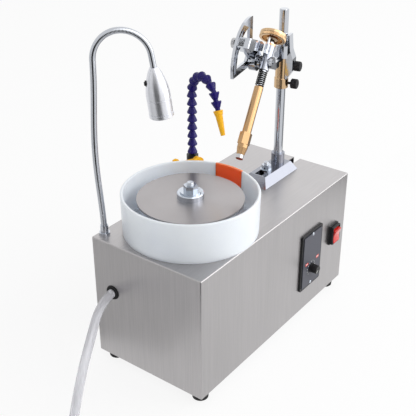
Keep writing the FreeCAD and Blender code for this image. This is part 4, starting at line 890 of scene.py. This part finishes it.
@dataclass
class Lamp:
    """Bullet lamp on a ribbed gooseneck."""

    spot: Span = (-0.178, 0.086)
    turn: float = -42.3
    path: Crook = Crook(foot=211 * MM, top=458.4 * MM, bend=37 * MM, lean=7.5, tail=18 * MM)
    overrun: float = 6 * MM
    neck: float = 4.22 * MM
    rib: float = 1.7 * MM
    rib_steps: int = 8
    rib_depth: float = 0.1 * MM
    bow: Span = (5 * MM, 2.5 * MM)
    bullet: Outline = ((4.3, 0), (5.4, 0), (6.2, -1.4), (8.6, -6), (10.6, -11), (12.4, -16.5), (14, -23),
                       (15.2, -30), (15.9, -37), (16, -40))
    bezel: Outline = (
        (16, -41.2), (15.4, -41.6), (15.4, -42.6), (16, -43), (16, -61), (15.4, -61.4), (15.4, -62.1),
        (16.35, -62.6), (16.35, -67), (15.7, -67.6), (13.6, -67.6), (13.6, -42), (6, -32), (4.3, -32),
    )
    switch_drop: float = -20 * MM
    switch_collar: Outline = ((2.7, 9), (4.2, 9), (4.2, 13.9), (3.9, 14.2), (2.7, 14.2))
    switch_dot: Outline = ((0, 15.3), (1.6, 15.3), (1.6, 15.49), (0, 15.49))

    def frame(self) -> Array:
        """The neck's plane: X towards the lap, Z up."""
        return frame_at((*self.spot, 0), ("Z", self.turn))

    def aim(self) -> Array:
        """The lamp's own frame, with its top at the origin and its axis along Z."""
        x, z, _ = self.path.station(sum(self.path.lengths()))
        return self.frame() @ frame_at((x, 0, z), ("Y", -self.path.lean))

    def gooseneck(self) -> None:
        """A tube bowed by d sin^2 on each side, with a radius of r - d (1 - |sin(pi s / rib)|)."""
        rise, arc, tail = self.path.lengths()
        run = np.arange(0, rise + arc + tail + self.overrun, self.rib / self.rib_steps)
        x, z, _ = self.path.station(run)
        for bow, part in zip(self.bow, (run / rise, (run - rise) / (arc + tail))):
            x -= bow * np.sin(math.pi * np.clip(part, 0, 1)) ** 2
        radius = self.neck - self.rib_depth * (1 - np.abs(np.sin(math.pi * run / self.rib)))
        frame = self.frame()
        shape = swept(placed(np.stack([x, np.zeros_like(x), z], axis=1), frame), frame[:3, 1], radius)
        add_piece("gooseneck_ribbed", shape, CHROME, "cabinet", ["gooseneck"], sharp=70.0)

    def shell(self) -> None:
        """The lamp's skin, a smooth bullet with a groove and a turned bezel, and the switch on its side."""
        shape = turned(softened(self.bullet, self.bezel), self.aim(), steps=72)
        add_piece("lamp_bullet", shape, SATIN_ALUMINIUM, "cabinet", ["lamp_shell"], sharp=24.0)
        side = self.aim() @ frame_at((0, 0, self.switch_drop), ("Y", -90))
        collar = turned(mm(self.switch_collar), side, steps=32)
        add_piece("switch_collar", collar, BLACK_KNOB, "cabinet")
        dot = turned(mm(self.switch_dot), side, steps=24)
        add_piece("switch_dot", dot, RED_MARK, "lamp_button")

    def build(self) -> None:
        """Every finer piece of the lamp."""
        self.gooseneck()
        self.shell()


@dataclass
class CoolantHose:
    """Jointed coolant hose of bell-shaped links, with its nozzle and the tip of its valve's lever."""

    spot: Span = (0.015, 0.08)
    turn: float = 248.9
    path: Crook = Crook(foot=263 * MM, top=360 * MM, bend=33 * MM, lean=22.5, tail=18 * MM)
    links: int = 16
    bell: Outline = ((7.5, 0.9), (7.5, 2.2), (6.8, 3.8), (5.5, 6.8), (4.5, 9.4), (3.6, 10.2), (3.6, 15))
    bell_bore: Outline = ((2.4, 15), (2.4, 4.5), (4.5, 4.5), (4.5, 0.5), (7.1, 0.5))
    cone: Outline = ((6.2, 0.6), (7, 1), (7.1, 2), (6.5, 3), (6.3, 6.2), (5.4, 7.4), (5.2, 9), (3.3, 35.5),
                     (3.1, 36.5))
    cone_bore: Outline = ((2, 36.5), (2.4, 9), (4, 6), (4, 0.6))
    deck: float = 209 * MM
    lever_turn: float = -25.0
    tip_outline: Outline = ((-36.5, 43), (-28, 43.5), (-29, 50), (-31.5, 55.5), (-36, 57.5), (-40.5, 56),
                            (-41.5, 50))
    tip_span: Span = (-17 * MM, -12.6 * MM)

    def link(self, place: float, heading: float) -> Array:
        """A frame at one distance along the hose, aimed as the hose runs at another."""
        x, z, _ = self.path.station(place)
        aim = ("Y", math.degrees(self.path.station(heading)[2]))
        return frame_at((*self.spot, 0), ("Z", self.turn)) @ frame_at((x, 0, z), aim)

    def build(self) -> None:
        """A smooth bell per link, aimed along its own stretch, the nozzle and the lever's upturned end."""
        total = sum(self.path.lengths())
        pitch = total / self.links
        bell = softened(self.bell, self.bell_bore)
        bells = [turned(bell, self.link(pitch * k, pitch * (k + 0.5)), steps=36) for k in range(self.links)]
        add_piece("hose_bells", joined(bells), INDIGO, "cabinet", ["hose_segments"])
        nozzle = turned(softened(self.cone, self.cone_bore), self.link(total, total), steps=40)
        add_piece("spray_nozzle", nozzle, AMBER, "cabinet", ["hose_nozzle"])
        lever = frame_at((*self.spot, self.deck), ("Z", self.lever_turn))
        tip = extruded(mm(self.tip_outline), self.tip_span, lever, EDGE)
        add_piece("lever_tip", tip, AMBER, "valve_lever")


@dataclass
class Controls:
    """Marks, screws and the knob of the speed controller, and the rocker with its surround."""

    wall: float = -95 * MM
    dial: Span = (85 * MM, 88 * MM)
    dial_profile: Outline = ((0, -9), (3, -9), (3, 4.5), (8, 4.5), (8, 6.1), (7.2, 6.5), (6.88, 16.2),
                             (6.24, 17), (0, 17))
    dial_fluted: tuple[float, ...] = (0, 0, 0, 0, 0, 0.05, 0.05, 0.03, 0)
    dial_flutes: int = 18
    pointer: tuple[Spot, Spot] = ((-0.45, 0.5, 16.9), (0.45, 5.92, 17.05))
    pointer_turn: float = 135.0
    strokes: int = 11
    stroke_sweep: Span = (-135.0, 135.0)
    stroke: tuple[Spot, Spot] = ((10.4, -0.3, 4.2), (12.6, 0.3, 4.36))
    labels: tuple[Span, ...] = ((71 * MM, 100 * MM), (103 * MM, 100 * MM))
    label: tuple[Spot, Spot] = ((-3.7, -2.2, 4.2), (3.7, 2.2, 4.36))
    label_bar: tuple[Spot, Spot] = ((-2.4, -0.6, 4.3), (2.4, 0.6, 4.4))
    screws: tuple[Span, ...] = ((85 * MM, 149 * MM), (85 * MM, 61 * MM))
    screw_head: Outline = ((0, 4.1), (2.6, 4.1), (2.6, 4.6), (1.8, 5.2), (0, 5.3))
    rocker_spot: Span = (156 * MM, 116 * MM)
    rocker_tilt: float = 7.0
    rocker_pivot: float = -91 * MM
    paddle: Outline = ((4, -6), (4, 6), (-1, 11.9), (-14.6, 11.2), (-13, 5), (-12.4, 0), (-13, -5),
                       (-14.6, -11.2), (-1, -11.9))
    paddle_span: Span = (-9.2 * MM, 9.2 * MM)
    paddle_bevel: float = 0.5 * MM
    surround_half: Span = (11.8 * MM, 15.8 * MM)
    surround_corner: float = 2.2 * MM
    surround: Outline = ((0, -97.8), (0, -102.3), (-0.6, -102.9), (-1.9, -102.9), (-1.9, -97.8))

    def facing(self, spot: Span, turn: float = 0.0) -> Array:
        """A frame on the front wall with Z outwards and Y up, turned about Z."""
        return frame_at((spot[0], self.wall, spot[1]), ("X", 90), ("Z", turn))

    def marks(self) -> None:
        """Short white strokes round the dial, two red labels with a white bar each, and two screws."""
        turns = 90 - np.linspace(*self.stroke_sweep, self.strokes)
        white = [slab(*mm(self.stroke), self.facing(self.dial, turn)) for turn in turns]
        white += [slab(*mm(self.label_bar), self.facing(spot)) for spot in self.labels]
        red = [slab(*mm(self.label), self.facing(spot)) for spot in self.labels]
        heads = [turned(mm(self.screw_head), self.facing(spot), steps=28) for spot in self.screws]
        add_piece("dial_scale", joined(white), WHITE_MARK, "cabinet")
        add_piece("dial_limits", joined(red), RED_MARK, "cabinet")
        add_piece("panel_screws", joined(heads), ZINC, "cabinet")

    def knob(self) -> None:
        """The dial: a tapered knob with flutes, r (1 - d max(0, cos(flutes a))), and a white pointer line."""
        fluted = np.array(self.dial_fluted)
        shape = turned(mm(self.dial_profile), self.facing(self.dial), self.dial_flutes * 6,
                       lambda row, turn: 1 - fluted[row] * np.maximum(0, np.cos(self.dial_flutes * turn)))
        add_piece("speed_dial", shape, BLACK_KNOB, "dial", ["speed_knob"])
        pointer = slab(*mm(self.pointer), self.facing(self.dial, self.pointer_turn))
        add_piece("dial_pointer", pointer, WHITE_MARK, "dial")

    def rocker(self) -> None:
        """The raised surround of the rocker and its paddle, hollow between two raised ends."""
        x, z = self.rocker_spot
        shape = bordered(self.surround_half, self.surround_corner, mm(self.surround), frame_at((x, 0, z)))
        add_piece("rocker_surround", shape, BLACK_KNOB, "cabinet")
        pivot = frame_at((x, self.rocker_pivot, z), ("X", self.rocker_tilt), ("Z", 90))
        shape = extruded(mm(self.paddle), self.paddle_span, pivot, self.paddle_bevel)
        add_piece("rocker_paddle", shape, RED_SWITCH, "switch", ["rocker"])

    def build(self) -> None:
        """Every finer piece of the controls."""
        self.marks()
        self.knob()
        self.rocker()


@dataclass
class Studio:
    """Camera at the photograph's angle, a pale floor and soft light.

    A lamp has a name, a place, a size and its watts. A sector of the grey cards has a name, a bearing and a
    spread in degrees, a shade and the reach at which it begins.
    """

    eye: Spot = (-0.8738, -0.6120, 0.7852)
    azimuth: float = -53.3
    elevation: float = 28.79
    lens: float = 70.37
    sensor: float = 36.0
    sky: float = 0.6
    lamps: tuple[tuple[str, Spot, float, float], ...] = (
        ("key", (0.1, -2.1, 2.2), 2.6, 31.0), ("fill", (1.4, -1.7, 0.9), 2.2, 27.0),
        ("rim", (2.0, 0.9, 1.5), 2.2, 4.5),
    )
    lamp_target: Spot = (0.0, 0.0, 0.2)
    floor_half: float = 6.0
    floor_shades: Span = (0.9, 0.93)
    floor_white: float = 0.86
    sectors: tuple[tuple[str, float, float, float, float], ...] = (
        ("near", 206.0, 50.0, 0.03, 0.44), ("right", 336.0, 56.0, 0.3, 0.6),
        ("left", 148.0, 56.0, 0.85, 0.26),
    )
    walls: tuple[str, ...] = ("near", "left")
    card_steps: int = 13
    card_reach: float = 1.5
    card_lift: float = 2 * MM
    card_height: float = 0.9
    card_spread: float = 0.1

    @staticmethod
    def aimed(name: str, data: ID, spot: Sequence[float], along: Vector) -> Object:
        """A camera or a light that stands at a spot and looks along a direction."""
        item = linked(name, data)
        item.location = spot
        item.rotation_mode = "QUATERNION"
        item.rotation_quaternion = along.to_track_quat("-Z", "Y")
        return item

    def camera(self) -> None:
        """Stand the camera at its eye point and turn it to its angles."""
        data = bpy.data.cameras.new("camera")
        data.lens, data.sensor_width = self.lens, self.sensor
        a, e = math.radians(self.azimuth), math.radians(self.elevation)
        back = Vector((math.sin(a) * math.cos(e), -math.cos(a) * math.cos(e), math.sin(e)))
        bpy.context.scene.camera = self.aimed("camera", data, self.eye, -back)

    def lights(self) -> None:
        """Square soft lights that face the machine."""
        for name, spot, size, watts in self.lamps:
            data = bpy.data.lights.new(name, "AREA")
            data.size, data.energy = size, watts
            self.aimed(name, data, spot, Vector(self.lamp_target) - Vector(spot))

    @staticmethod
    def backdrop(name: str, points: Array, material: Material) -> Object:
        """A sheet of the stage, from a grid of points."""
        mesh = bpy.data.meshes.new(name)
        corners, faces = surface(points)
        mesh.from_pydata(corners.tolist(), [], faces.tolist())
        mesh.materials.append(material)
        item = linked(name, mesh)
        return item

    def floor(self) -> None:
        """A wide pale floor that the camera sees as white, with the machine's shadow left on it."""
        tree = Tree(bpy.data.materials.new("pale_floor"))
        cloud = tree.noise(tree.coords(), scale=3.0)
        tree.finish(base_color=tree.mix(cloud, *((shade,) * 3 for shade in self.floor_shades)), roughness=0.7)
        white = tree.node("Emission", sockets={"Color": WHITE, "Strength": 1.0})
        tree.cover(tree.shown() * self.floor_white, white)
        side = (-self.floor_half, self.floor_half)
        self.backdrop("floor", np.array([[(x, y, 0.0) for y in side] for x in side]), tree.owner)

    def world(self) -> None:
        """White where the camera, a mirror or glass looks, and dimmer as light."""
        bpy.context.scene.world = bpy.data.worlds.new("studio")
        tree = Tree(bpy.context.scene.world)
        tree.finish(color=WHITE, strength=self.sky)
        tree.cover(tree.shown(), tree.node("Background", sockets={"Color": WHITE, "Strength": 1.0}))

    def card(self, name: str, points: Array, shade: float) -> None:
        """A card in a shade of grey that only polished metal and glass show."""
        tree = Tree(bpy.data.materials.new(name))
        dark, light = ((shade * (1 + change),) * 3 for change in (-self.card_spread, self.card_spread))
        grey = tree.mix(tree.noise(tree.coords(), scale=2.0), dark, light)
        item = self.backdrop(name, points, tree.finish(base_color=grey, roughness=0.9))
        item.visible_camera = item.visible_diffuse = item.visible_shadow = False

    def cards(self) -> None:
        """Sectors of a ring on the floor round the machine, and an upright sector behind some of them."""
        for name, bearing, spread, shade, start in self.sectors:
            turn = np.radians(np.linspace(bearing - spread / 2, bearing + spread / 2, self.card_steps))
            ring = np.stack([np.cos(turn), np.sin(turn), np.zeros_like(turn)], axis=1)
            near, far = (r * ring + (0, 0, self.card_lift) for r in (start, self.card_reach))
            self.card(name + "_floor_card", np.stack([near, far]), shade)
            if name in self.walls:
                self.card(name + "_wall_card", np.stack([far, far + (0, 0, self.card_height)]), shade)

    def build(self) -> None:
        """Everything that isn't the machine."""
        self.camera()
        self.floor()
        self.world()
        self.lights()
        self.cards()
        bpy.context.scene.view_settings.view_transform = "Standard"


def dress_frame(nodes: dict[str, Object]) -> None:
    """Give every node of the frame its finish.

    Args:
        nodes: the frame's nodes by name.
    """
    for finish, names in NODE_FINISHES.items():
        for name in names.split():
            mesh = nodes[name].data
            mesh.materials.clear()
            mesh.materials.append(finish.material())


def main() -> None:
    """Load the frame, dress it, add the finer pieces and set the studio."""
    logging.basicConfig(level=logging.INFO)
    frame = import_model()
    dress_frame(frame["nodes"])
    for assembly in (DrainHose(), Manipulator(), Lamp(), CoolantHose(), Controls(), Studio()):
        assembly.build()


if __name__ == "__main__":
    main()
